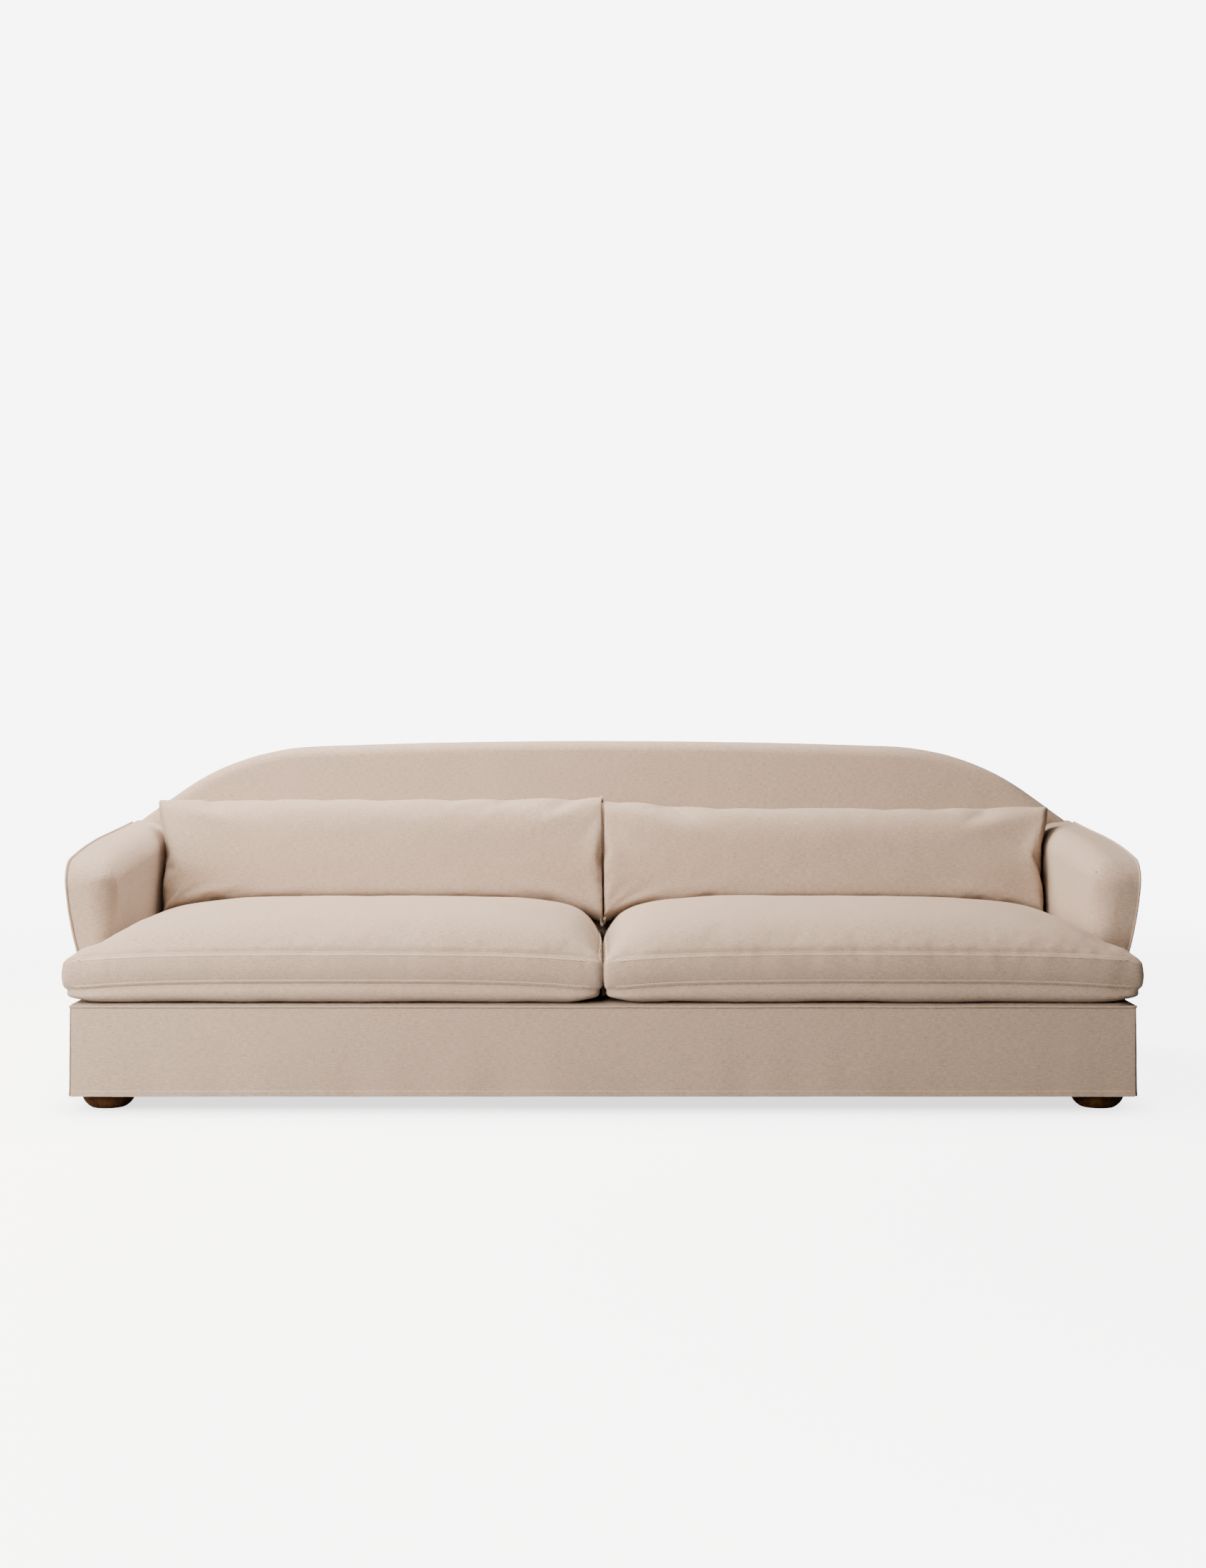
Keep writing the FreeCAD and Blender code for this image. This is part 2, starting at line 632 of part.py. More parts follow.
def bun_foot(x, y):
    """A turned bun: a flat tread, a round belly and a narrower neck under the frame."""
    low, high = glide_thickness, foot_height - ease
    belly_z = foot_height * foot_belly_share

    def at(r, z):
        return Vector(r, 0, z)

    tread, belly, neck = at(foot_tread_radius, low), at(foot_radius, belly_z), at(foot_neck_radius, high)
    under = at(foot_radius * 0.9, low + (belly_z - low) * 0.36)
    over = at(foot_radius * 0.95, belly_z + (high - belly_z) * 0.66)
    profile = [
        Part.LineSegment(at(0, low), tread),
        Part.Arc(tread, under, belly),
        Part.Arc(belly, over, neck),
        Part.LineSegment(neck, at(0, high)),
        Part.LineSegment(at(0, high), at(0, low)),
    ]
    half_section = Part.Face(Part.Wire([e.toShape() for e in profile]))
    foot = half_section.revolve(Vector(0, 0, 0), Vector(0, 0, 1), 360)
    socket = Part.makeCylinder(bolt_radius + hair / 2, bolt_bite + 1, Vector(0, 0, foot_height - bolt_bite))
    foot = foot.cut(socket)
    foot.translate(Vector(x, y, 0))
    return foot


def foot_glide(x, y):
    return Part.makeCylinder(glide_radius, glide_thickness, Vector(x, y, 0))


# The springs and the deck

def spring_ends():
    """Y of the clips on the front rail and on the inner rail."""
    return -frame_half_y + rail_thickness / 2, spring_rail_y() + rail_thickness / 2


def sinuous_spring(x):
    """A zigzag spring of straight runs and half turns, from the front rail to the spring rail."""
    z = rail_top + clip_height / 2
    spring_front_y, spring_rear_y = spring_ends()
    pitch = (spring_rear_y - spring_front_y) / (spring_runs - 1)
    turn = pitch / 2
    half = spring_run_length / 2
    edges = []
    for i in range(spring_runs):
        y = spring_front_y + i * pitch
        side = 1 if i % 2 == 0 else -1
        start, end = Vector(x - side * half, y, z), Vector(x + side * half, y, z)
        edges.append(Part.LineSegment(start, end).toShape())
        if i < spring_runs - 1:
            tip = Vector(x + side * (half + turn), y + turn, z)
            edges.append(Part.Arc(end, tip, Vector(end.x, y + pitch, z)).toShape())
    circle = Part.makeCircle(spring_wire_radius, Vector(x - half, spring_front_y, z), Vector(1, 0, 0))
    return Part.Wire(edges).makePipeShell([Part.Wire(circle)], True, False)


def spring_places():
    reach = arm_inner_x - spring_margin
    return [-reach + 2 * reach * i / (spring_count - 1) for i in range(spring_count)]


def spring_clip(x, y):
    clip = box(x - clip_width / 2, x + clip_width / 2, y - clip_depth / 2, y + clip_depth / 2,
               rail_top, rail_top + clip_height)
    bore = Part.makeCylinder(spring_wire_radius + hair, clip_width + 2,
                             Vector(x - clip_width / 2 - 1, y, rail_top + clip_height / 2), Vector(1, 0, 0))
    return clip.cut(bore)


def deck_outline(side, front, rear):
    """The T-shaped deck, anticlockwise: full width before the arms, then between them."""
    x_wide, x_in = base_half_x - side, arm_inner_x - ease
    y_notch = arm_front_y - ease
    return [(-x_wide, front_y + front), (x_wide, front_y + front), (x_wide, y_notch), (x_in, y_notch),
            (x_in, rear), (-x_in, rear), (-x_in, y_notch), (-x_wide, y_notch)]


def deck_layers():
    """Felt, foam and the cover's cloth deck with its front and side lip."""
    rear = back_face(deck_height - cloth) - 2 * ease
    under = upright_front(rail_top) - 4 * ease
    felt = prism_z(deck_outline(rail_inset, rail_inset, under), spring_top, spring_top + felt_thickness)
    foam = prism_z(deck_outline(pad_inset, pad_inset, under), foam_bottom, foam_bottom + deck_foam)
    outer = prism_z(deck_outline(0, 0, rear), skirt_top - deck_lip, deck_height)
    front_edge = [e for e in outer.Edges
                  if min(v.Point.z for v in e.Vertexes) > deck_height - 0.01
                  and max(v.Point.y for v in e.Vertexes) < front_y + 0.01]
    outer = outer.makeFillet(cloth * 1.6, front_edge)
    hollow = box(-base_half_x + cloth, base_half_x - cloth, front_y + cloth, rear + 1,
                 skirt_top - deck_lip - 1, deck_height - cloth)
    return felt, foam, outer.cut(hollow)


# The skirt hangs from the base welt in soft folds

def skirt_panel(length, phase):
    """A hanging panel along X, its back at Y = 0 and its outer side at -Y, from the hem up."""
    folds = max(3, round(length / skirt_fold_length))
    levels = ((0.0, 0.0, 0.0), (0.5, 0.45, 0.35), (1.0, 1.0, 1.0))
    top = skirt_top - hair
    sections = []
    for share, flare, wave in levels:
        z = top - (top - skirt_hem) * share
        front = []
        rear = []
        for i in range(folds * 2 + 1):
            x = -length / 2 + length * i / (folds * 2)
            swing = math.sin(i * math.pi / 2 + phase) * (0.6 + 0.4 * math.sin(i * 1.7 + phase))
            fade = min(1.0, i / 2, (folds * 2 - i) / 2)
            y = -skirt_flare * flare - skirt_wave * wave * (swing * fade + 1) / 2
            front.append(Vector(x, y - cloth, z))
            rear.append(Vector(x, y, z))
        edges = curve_through(front)
        edges.append(Part.LineSegment(front[-1], rear[-1]).toShape())
        edges += curve_through(rear[::-1])
        edges.append(Part.LineSegment(rear[0], front[0]).toShape())
        sections.append(Part.Wire(edges))
    return Part.makeLoft(sections, True, False)


def curve_through(points):
    """Arcs through each three points in turn, so that each fold is one arc."""
    edges = []
    for i in range(0, len(points) - 2, 2):
        a, b, c = points[i], points[i + 1], points[i + 2]
        if (b - a).cross(c - b).Length < 1e-3:
            b = b + Vector(0, 0.002, 0)
        edges.append(Part.Arc(a, b, c).toShape())
    return edges


def placed_skirts():
    """The four panels; the side ones reach forward past the ends of the front one, and back."""
    off_x, off_y = base_half_x + ease, base_half_y + ease
    length = 2 * (off_x - 2 * ease)
    front = skirt_panel(length, 0.4)
    front.translate(Vector(0, -off_y, 0))
    back = skirt_panel(length, 1.3)
    back.rotate(Vector(0, 0, 0), Vector(0, 0, 1), 180)
    back.translate(Vector(0, off_y, 0))
    right = skirt_panel(2 * (off_y + cloth), 2.1)
    right.rotate(Vector(0, 0, 0), Vector(0, 0, 1), 90)
    right.translate(Vector(off_x, 0, 0))
    return front, back, mirrored(right), right


def base_welt():
    """Piping round the top of the skirt, in two halves that meet at the middle."""
    z = skirt_top + welt_radius
    x, y = base_half_x + welt_radius + hair, base_half_y + welt_radius + hair
    bend = welt_radius + 2 * hair
    right = [Vector(0, -y, z), Vector(x, -y, z), Vector(x, y, z), Vector(0, y, z)]
    run = tube(right, welt_radius, [bend, bend])
    return [run, mirrored(run)]


def arm_welt():
    """Piping up the arm's front outer edge, round its top corner and back along its top."""
    y0 = arm_front_y - welt_out
    foot_z = flank_foot + 1.0
    rear_y = back_face(arm_rear_top) - 2 * welt_radius
    lift = welt_out / math.cos(math.atan(arm_slope()))
    top_front, top_rear = arm_top(y0) + lift, arm_top(rear_y) + lift
    points = [Vector(base_half_x + welt_out + hair, y0, foot_z),
              Vector(flank_x(flank_height) + welt_out, y0, flank_height),
              Vector(flank_x(top_front) + welt_out, y0, top_front),
              Vector(flank_x(top_rear) + welt_out, rear_y, top_rear)]
    return tube(points, welt_radius, [flank_turn_radius, arm_nose_radius + welt_out])


def back_welt():
    """Piping round the outside back, along the arch's rear edge, from the base welt up and over."""
    low = flank_foot + 1.0
    points, radii = arch_outline(low)
    points, radii = points[:1] + points[2:-2] + points[-1:], radii[:1] + radii[2:-2] + radii[-1:]
    inward = back_edge_radius - (back_edge_radius + welt_radius + 2 * ease) * math.sqrt(0.5)
    points = inset_outline(points, inward)
    points[0], points[-1] = (points[0][0], low), (points[-1][0], low)
    y = base_half_y - inward
    return tube([Vector(px, y, pz) for px, pz in points], welt_radius, radii[1:-1])


# Cushions

def rise(distance, shoulder):
    """Share of a cushion's full height at a distance from its seam."""
    return 1 - math.exp(-max(0.0, distance) / shoulder)


def cushion_section(x, y0, y1, height, drop, draw, inset):
    """A seat cushion's outline in Y and Z at one place along it."""
    front, rear = y0 + draw + inset, y1 - draw - inset
    low, high = seam_low + inset * 0.4, seam_high - inset * 0.4
    height -= inset * 0.6
    drop -= inset
    shoulder = min(crown_run, (rear - front) * 0.36)
    sole = min(sole_run, (rear - front) * 0.3)

    def at(y, z):
        return Vector(x, y, z)

    crown_front = at(front + shoulder, high + height * 0.86)
    crown_rear = at(rear - shoulder, high + height * 0.86)
    edges = [
        Part.Arc(at(front, low), at(front - boxing_bulge, (low + high) / 2), at(front, high)),
        Part.Arc(at(front, high), at(front + shoulder * 0.36, high + height * 0.53), crown_front),
        Part.Arc(crown_front, at((front + rear) / 2, high + height), crown_rear),
        Part.Arc(crown_rear, at(rear - shoulder * 0.36, high + height * 0.53), at(rear, high)),
        Part.LineSegment(at(rear, high), at(rear, low)),
        Part.Arc(at(rear, low), at(rear - sole * 0.26, low - drop * 0.66), at(rear - sole, low - drop)),
        Part.LineSegment(at(rear - sole, low - drop), at(front + sole, low - drop)),
        Part.Arc(at(front + sole, low - drop), at(front + sole * 0.26, low - drop * 0.66), at(front, low)),
    ]
    return Part.Wire([e.toShape() for e in edges])


def cushion_loft(x0, x1, y0, y1, crown, start, end, inset):
    """A crowned cushion from x0 to x1; start and end are each end's height, shoulder and softness."""
    x0, x1 = x0 + inset, x1 - inset
    length = x1 - x0
    steps = [0.0, 0.012, 0.035, 0.08, 0.16, 0.29, 0.5, 0.71, 0.84, 0.92, 0.965, 0.988, 1.0]
    wires = []
    for share in steps:
        heights, drops, draws = [], [], []
        for distance, (base, shoulder, soft) in ((share * length, start), ((1 - share) * length, end)):
            heights.append(base + (crown - base) * rise(distance, shoulder))
            drops.append(sole_depth * (0.08 + 0.92 * rise(distance, 15.0)) if soft else sole_depth)
            draws.append(end_draw * (1 - rise(distance, draw_reach)) if soft else 0)
        x = x0 + share * length
        wires.append(cushion_section(x, y0, y1, min(heights), min(drops), max(draws), inset))
    return Part.makeLoft(wires, True, False)


def seat_cushion(inset):
    """The left seat cushion: its body between the arm and the centre, with an ear before the arm."""
    y0 = front_y - cushion_overhang + boxing_bulge
    x0 = -(arm_inner_x - cushion_clearance)
    y1 = back_face_y - cushion_rear_gap
    body = cushion_loft(x0, x0 + body_length, y0, y1, cushion_crown, (arm_side_crown, arm_shoulder, False),
                        (seam_lip, cushion_shoulder, True), inset)
    ear_x0 = -(base_half_x + ear_overhang)
    ear_y1 = arm_front_y - 2 * welt_radius - cushion_clearance
    ear = cushion_loft(ear_x0, x0 + ear_lap, y0, ear_y1, ear_crown, (seam_lip, ear_shoulder, True),
                       (ear_crown, ear_shoulder, False), inset)
    return body.fuse(ear)


def pillow_section(x, low, high, half, inset):
    """A knife-edged pillow's outline at one place along it: two bulged faces and two thin edges."""
    low, high, half = low + inset, high - inset, half - inset
    edge = max(0.6, pillow_edge / 2 - inset)
    mid = low + (high - low) * 0.46

    def at(y, z):
        return Vector(x, y, z)

    edges = [
        Part.Arc(at(-edge, low), at(-half, mid), at(-edge, high)),
        Part.LineSegment(at(-edge, high), at(edge, high)),
        Part.Arc(at(edge, high), at(half, mid), at(edge, low)),
        Part.LineSegment(at(edge, low), at(-edge, low)),
    ]
    return Part.Wire([e.toShape() for e in edges])


def pillow_low(near, start=0):
    """Height of the lower edge above the inner corner, at a distance from an end that starts at start."""
    return start + (pillow_rise - start) * rise(near, pillow_foot_shoulder)


def pillow_upright(inset):
    """The left lumbar pillow standing upright, centred on X = 0, its lower inner corner at Z = 0."""
    steps = [0.0, 0.013, 0.04, 0.09, 0.17, 0.30, 0.5, 0.70, 0.83, 0.91, 0.96, 0.987, 1.0]
    run = pillow_length - 2 * inset
    wires = []
    for share in steps:
        near = min(share, 1 - share) * run
        high = pillow_height - pillow_top_sag * rise(near, pillow_top_shoulder)
        half = pillow_edge + (pillow_thickness / 2 - pillow_edge) * rise(near, pillow_end_shoulder)
        low = pillow_low(near, pillow_arm_lift if share < 0.5 else 0)
        wires.append(pillow_section(-run / 2 + share * run, low, high, half, inset))
    return Part.makeLoft(wires, True, False)


def placed_pillow(shape):
    """Leans a pillow against the inside back, at the left half of the seat."""
    half = pillow_thickness / 2 + ease
    z = seam_high + pillow_lift
    foot_y = back_face(z - half * math.sin(lean_angle)) - half * math.cos(lean_angle)
    shape = shape.copy()
    shape.rotate(Vector(0, 0, 0), Vector(1, 0, 0), -math.degrees(lean_angle))
    shape.translate(Vector(-half_seat_x, foot_y, z))
    return shape


# Zips

def zip_chain(length):
    """A zip along X: its tape against Y = 0 and its teeth standing out at +Y."""
    tape = box(-length / 2, length / 2, 0, zip_tape, -zip_tape_width / 2, zip_tape_width / 2)
    teeth = box(-length / 2, length / 2, zip_tape, zip_tape + zip_teeth_height,
                -zip_teeth_width / 2, zip_teeth_width / 2)
    return tape.fuse(teeth).removeSplitter()


def zip_slider():
    """The slider that straddles the teeth, at X = 0."""
    half = zip_slider_length / 2
    inner = zip_teeth_width / 2 + hair
    outer = inner + zip_slider_wall
    low, high = zip_tape + hair, zip_tape + zip_teeth_height + hair
    body = box(-half, half, low, high + zip_slider_wall, -outer, outer)
    body = body.cut(box(-half - 1, half + 1, 0, high, -inner, inner))
    crown = box(-half * 0.5, half * 0.5, high + zip_slider_wall, high + 2 * zip_slider_wall, -1.2, 1.2)
    return body.fuse(crown).removeSplitter()


def closed_zip(length):
    """A zip's chain and its slider, which stands one length short of the end."""
    chain, slider = zip_chain(length), zip_slider()
    slider.translate(Vector(length / 2 - zip_slider_length, 0, 0))
    return chain, slider


def seat_zip():
    """The zip across the rear boxing of the left seat cushion, and its closed slider."""
    shapes = closed_zip(body_length - 2 * seat_zip_margin)
    place = Vector(-half_seat_x, back_face_y - cushion_rear_gap + hair, (seam_low + seam_high) / 2)
    for shape in shapes:
        shape.translate(place)
    return shapes


def pillow_zip():
    """The zip under the left pillow's lower seam, and its closed slider."""
    shapes = closed_zip(pillow_length - 2 * pillow_zip_margin)
    placed = []
    for shape in shapes:
        shape.rotate(Vector(0, 0, 0), Vector(1, 0, 0), -90)
        shape.translate(Vector(0, 0, pillow_low(pillow_zip_margin) - hair))
        placed.append(placed_pillow(shape))
    return placed


# Every node and the solids in it

def both_sides(name, left_shape):
    return {name + "_left": [left_shape], name + "_right": [mirrored(left_shape)]}


def base_nodes():
    long_rails, end_rails, inner_rails = base_rails()
    hole = foot_neck_radius + foot_hole_gap
    dust_z = rail_bottom - dust_cover_thickness
    dust = box(-frame_half_x, frame_half_x, -frame_half_y, frame_half_y, dust_z, rail_bottom)
    places = [(x, y) for _, x, y in foot_places()]
    for x, y in places:
        dust = dust.cut(Part.makeCylinder(hole, rail_bottom, Vector(x, y, 0)))
    nodes = {
        "base_long_rails": long_rails,
        "base_end_rails": end_rails,
        "base_inner_rails": inner_rails,
        "corner_blocks": [corner_block(x, y) for x, y in places],
        "tee_nuts": [tee_nut(x, y) for x, y in places],
        "hanger_bolts": [hanger_bolt(x, y) for x, y in places],
        "foot_glides": [foot_glide(x, y) for x, y in places],
        "dust_cover": [dust],
    }
    for name, x, y in foot_places():
        nodes["bun_foot_" + name] = [bun_foot(x, y)]
    return nodes


def frame_nodes():
    post, arm_rail, board = arm_frame()
    arch_rail, uprights, lower_rail, gussets = back_frame()
    board_y = base_half_y - back_pad_rear - back_board_thickness - ease
    low = rail_top + 2 * ease
    back_board = arch_prism(back_pad_top + ease, low, board_y, board_y + back_board_thickness)
    return {
        "arm_posts": [mirrored(post), post],
        "arm_top_rails": [mirrored(arm_rail), arm_rail],
        "arm_boards": [mirrored(board), board],
        "back_arch_rail": [arch_rail],
        "back_uprights": uprights,
        "back_lower_rail": lower_rail,
        "back_gussets": gussets,
        "back_webbing": back_straps(),
        "back_board": [back_board],
    }


def deck_nodes():
    felt, foam, deck = deck_layers()
    return {
        "seat_springs": [sinuous_spring(x) for x in spring_places()],
        "spring_clips": [spring_clip(x, y) for x in spring_places() for y in spring_ends()],
        "deck_felt": [felt],
        "deck_pad": [foam],
        "slipcover_deck": [deck],
    }


def back_nodes():
    """The inside and outside back's cloth and the foam between them and the frame."""
    arm_void = arm_frame_void()
    behind = spring_ends()[1] + clip_depth
    deck_room = box(-wide / 2, wide / 2, 0, behind, 0, deck_height - cloth + hair)
    rooms = arm_void.fuse(mirrored(arm_void)).fuse(deck_room)
    sides = flank_slab(cloth + hair, hair)
    shell = back_form(0, soft_bottom).cut(back_form(cloth, open_bottom)).cut(rooms)
    shell = shell.cut(sides).cut(mirrored(sides))
    rear_zone = box(-wide / 2, wide / 2, base_half_y - back_edge_radius, wide, 0, wide / 2)
    return {
        "slipcover_inside_back": [shell.cut(rear_zone)],
        "slipcover_outside_back": [shell.common(rear_zone)],
        "back_pad": [back_form(pad_inset, soft_bottom).cut(back_cavity()).cut(rooms)],
        "back_welt": [back_welt()],
    }


def arm_nodes():
    arm_void = arm_frame_void()
    back_outside = back_form(0, open_bottom)
    cover = arm_cloth(back_outside, arm_void)
    front, run = arm_form(pad_inset, soft_bottom, back_roll_radius - pad_inset)
    pad = front.fuse(run.cut(back_outside)).cut(arm_void)
    nodes = both_sides("slipcover_inside_arm", mirrored(cover.cut(flank_slab(cloth + 1.0, hair))))
    nodes.update(both_sides("slipcover_outside_arm", mirrored(flank_slab(cloth, 0))))
    nodes.update(both_sides("arm_pad", mirrored(pad)))
    nodes.update(both_sides("arm_welt", mirrored(arm_welt())))
    return nodes


def skirt_nodes():
    front, back, left, right = placed_skirts()
    z1 = rail_top - strip_drop
    span_x, span_y = frame_half_x - strip_margin, frame_half_y - strip_margin
    z0 = z1 - strip_width
    front_strip = box(-span_x, span_x, -frame_half_y - strip_thickness, -frame_half_y, z0, z1)
    back_strip = front_strip.mirror(Vector(0, 0, 0), Vector(0, 1, 0))
    side_strip = box(frame_half_x, frame_half_x + strip_thickness, -span_y, span_y, z0, z1)
    return {
        "skirt_front": [front],
        "skirt_back": [back],
        "skirt_left": [left],
        "skirt_right": [right],
        "base_welt": base_welt(),
        "hook_and_loop_strips": [front_strip, back_strip, side_strip, mirrored(side_strip)],
    }


def cushion_nodes():
    seat_chain, seat_slider = seat_zip()
    pillow_chain, pillow_slider = pillow_zip()
    nodes = both_sides("seat_cushion_cover", seat_cushion(0).cut(seat_cushion(cloth)))
    nodes.update(both_sides("seat_cushion_core", seat_cushion(cloth + ease)))
    nodes.update(both_sides("seat_zip", seat_chain))
    nodes.update(both_sides("seat_zip_slider", seat_slider))
    nodes.update(both_sides("pillow_cover", placed_pillow(pillow_upright(0).cut(pillow_upright(cloth)))))
    nodes.update(both_sides("pillow_insert", placed_pillow(pillow_upright(cloth + ease))))
    nodes.update(both_sides("pillow_zip", pillow_chain))
    nodes.update(both_sides("pillow_zip_slider", pillow_slider))
    return nodes


def main():
    os.makedirs("parts", exist_ok=True)
    for group in (base_nodes, frame_nodes, deck_nodes, back_nodes, arm_nodes, skirt_nodes, cushion_nodes):
        for name, shapes in group().items():
            solids = [s for shape in shapes for s in shape.Solids]
            whole = solids[0] if len(solids) == 1 else Part.makeCompound(solids)
            whole.exportStep("parts/" + name + ".step")
            print(f"{name}: {len(solids)} solids, {whole.Volume / 1e6:.3f} litres, "
                  f"valid {all(s.isValid() for s in solids)}")


main()
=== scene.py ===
import bmesh
import bpy
import json
import math
from mathutils import Matrix, Vector, noise
from mathutils.bvhtree import BVHTree


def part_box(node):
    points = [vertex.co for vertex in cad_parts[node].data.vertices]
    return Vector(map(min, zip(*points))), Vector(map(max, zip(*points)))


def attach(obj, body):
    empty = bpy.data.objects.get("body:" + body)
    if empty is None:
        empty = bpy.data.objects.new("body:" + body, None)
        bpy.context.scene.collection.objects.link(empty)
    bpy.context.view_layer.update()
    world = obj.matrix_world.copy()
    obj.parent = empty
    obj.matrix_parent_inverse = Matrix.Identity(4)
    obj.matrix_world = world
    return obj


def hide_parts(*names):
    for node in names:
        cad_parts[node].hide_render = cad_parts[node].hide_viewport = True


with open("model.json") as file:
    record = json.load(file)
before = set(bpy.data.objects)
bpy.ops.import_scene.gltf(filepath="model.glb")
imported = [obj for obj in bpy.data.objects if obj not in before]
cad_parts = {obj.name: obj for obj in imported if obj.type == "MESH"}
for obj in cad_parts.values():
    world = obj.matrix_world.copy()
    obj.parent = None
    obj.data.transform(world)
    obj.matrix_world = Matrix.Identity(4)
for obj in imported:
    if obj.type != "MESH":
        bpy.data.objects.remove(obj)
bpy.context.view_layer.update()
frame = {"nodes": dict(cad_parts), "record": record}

# A slipcovered sofa in oatmeal linen. Metres, -Y is the front, +Z is up, left is -X.
sides = {"left": -1, "right": 1}


# Small helpers

def addPiece(name, mesh):
    piece = bpy.data.objects.new(name, mesh)
    bpy.context.scene.collection.objects.link(piece)
    return piece


def pieceFromBmesh(name, bm):
    mesh = bpy.data.meshes.new(name)
    bm.to_mesh(mesh)
    bm.free()
    return addPiece(name, mesh)


def bmeshOf(piece):
    bm = bmesh.new()
    bm.from_mesh(piece.data)
    return bm


def uprightGrid(width, height, spacing, rowHeight):
    # A flat sheet that stands along X, with its middle at the origin.
    bm = bmesh.new()
    bmesh.ops.create_grid(bm, x_segments=round(width / spacing), y_segments=round(height / rowHeight), size=0.5)
    bmesh.ops.scale(bm, vec=(width, height, 1), verts=bm.verts)
    bmesh.ops.rotate(bm, matrix=Matrix.Rotation(math.radians(90), 3, "X"), verts=bm.verts)
    return bm


def giveBack(bm, piece):
    bm.to_mesh(piece.data)
    bm.free()
    piece.data.update()


def bakeModifiers(piece):
    graph = bpy.context.evaluated_depsgraph_get()
    mesh = bpy.data.meshes.new_from_object(piece.evaluated_get(graph))
    old = piece.data
    piece.modifiers.clear()
    piece.data = mesh
    mesh.name = piece.name
    bpy.data.meshes.remove(old)


def refine(piece):
    finer = piece.modifiers.new("Finer", "SUBSURF")
    finer.levels = 1
    finer.render_levels = 1
    bakeModifiers(piece)


def smoothShade(piece, angle=None):
    for face in piece.data.polygons:
        face.use_smooth = True
    if angle is not None:
        piece.data.set_sharp_from_angle(angle=math.radians(angle))


def smoothForm(bm, times):
    for _ in range(times):
        bmesh.ops.smooth_vert(bm, verts=bm.verts, factor=0.5, use_axis_x=True, use_axis_y=True, use_axis_z=True)


def softShade(piece, times):
    # Shades a piece with the normals of a smoother copy, so that its turns read as padded.
    bm = bmeshOf(piece)
    smoothForm(bm, times)
    bm.normal_update()
    normals = [v.normal.copy() for v in bm.verts]
    bm.free()
    smoothShade(piece)
    piece.data.normals_split_custom_set_from_vertices(normals)


def extent(spots, axis):
    # The lowest and the highest place of a form's points along an axis.
    return min(v.co[axis] for v in spots), max(v.co[axis] for v in spots)


def cutThrough(bm, spacing):
    # Cuts a form through by even planes across each axis, so that it can take soft waves.
    for axis in range(3):
        low, high = extent(bm.verts, axis)
        count = int((high - low) / spacing)
        for i in range(1, count):
            place, normal = [0, 0, 0], [0, 0, 0]
            place[axis], normal[axis] = low + (high - low) * i / count, 1
            bmesh.ops.bisect_plane(bm, geom=bm.verts[:] + bm.edges[:] + bm.faces[:], plane_co=place,
                                   plane_no=normal, dist=0.00001)


def bodyFrom(name, nodeName, spacing):
    # The closed outer form round one of the frame's shells.
    bm = bmesh.new()
    for vertex in frame["nodes"][nodeName].data.vertices:
        bm.verts.new(vertex.co)
    bmesh.ops.remove_doubles(bm, verts=bm.verts, dist=0.0003)
    hull = bmesh.ops.convex_hull(bm, input=bm.verts, use_existing_faces=False)
    inside = {v for v in hull["geom_interior"] + hull["geom_unused"] if isinstance(v, bmesh.types.BMVert)}
    bmesh.ops.delete(bm, geom=list(inside), context="VERTS")
    bmesh.ops.dissolve_limit(bm, angle_limit=math.radians(0.5), verts=bm.verts, edges=bm.edges)
    cutThrough(bm, spacing)
    bmesh.ops.recalc_face_normals(bm, faces=bm.faces)
    return pieceFromBmesh(name, bm)


def evenMesh(piece, voxel):
    even = piece.modifiers.new("Even", "REMESH")
    even.mode = "VOXEL"
    even.voxel_size = voxel
    bakeModifiers(piece)


def relax(piece, times):
    bm = bmeshOf(piece)
    smoothForm(bm, times)
    giveBack(bm, piece)


def pushOut(piece, amount):
    # Moves each vertex along its normal by amount(place, normal).
    mesh = piece.data
    normals = [n.vector.copy() for n in mesh.vertex_normals]
    for vertex, normal in zip(mesh.vertices, normals):
        vertex.co += normal * amount(vertex.co, normal)
    mesh.update()


def layCloth(piece):
    # A map in metres along the cloth's threads, laid from the side that each face looks to.
    mesh = piece.data
    layer = mesh.uv_layers.get("weave") or mesh.uv_layers.new(name="weave")
    spots = mesh.vertices
    for face in mesh.polygons:
        size = [abs(c) for c in face.normal]
        across, up = ((1, 2), (0, 2), (0, 1))[size.index(max(size))]
        for loop in face.loop_indices:
            place = spots[mesh.loops[loop].vertex_index].co
            layer.data[loop].uv = (place[across], place[up])


def dress(piece, material, body="sofa_frame"):
    layCloth(piece)
    piece.data.materials.clear()
    piece.data.materials.append(material)
    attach(piece, body)


def roundedPath(points, radii, steps=6):
    # Points along straight runs with rounded corners; the ends have no radius.
    path = [points[0]]
    for last, corner, following, radius in zip(points, points[1:], points[2:], radii):
        back, ahead = (last - corner).normalized(), (following - corner).normalized()
        half = (math.pi - back.angle(ahead)) / 2
        reach = radius * math.tan(half)
        centre = corner + (back + ahead).normalized() * (radius / math.cos(half))
        start, end = corner + back * reach - centre, corner + ahead * reach - centre
        for i in range(steps + 1):
            path.append(centre + start.slerp(end, i / steps) * radius)
    path.append(points[-1])
    return path


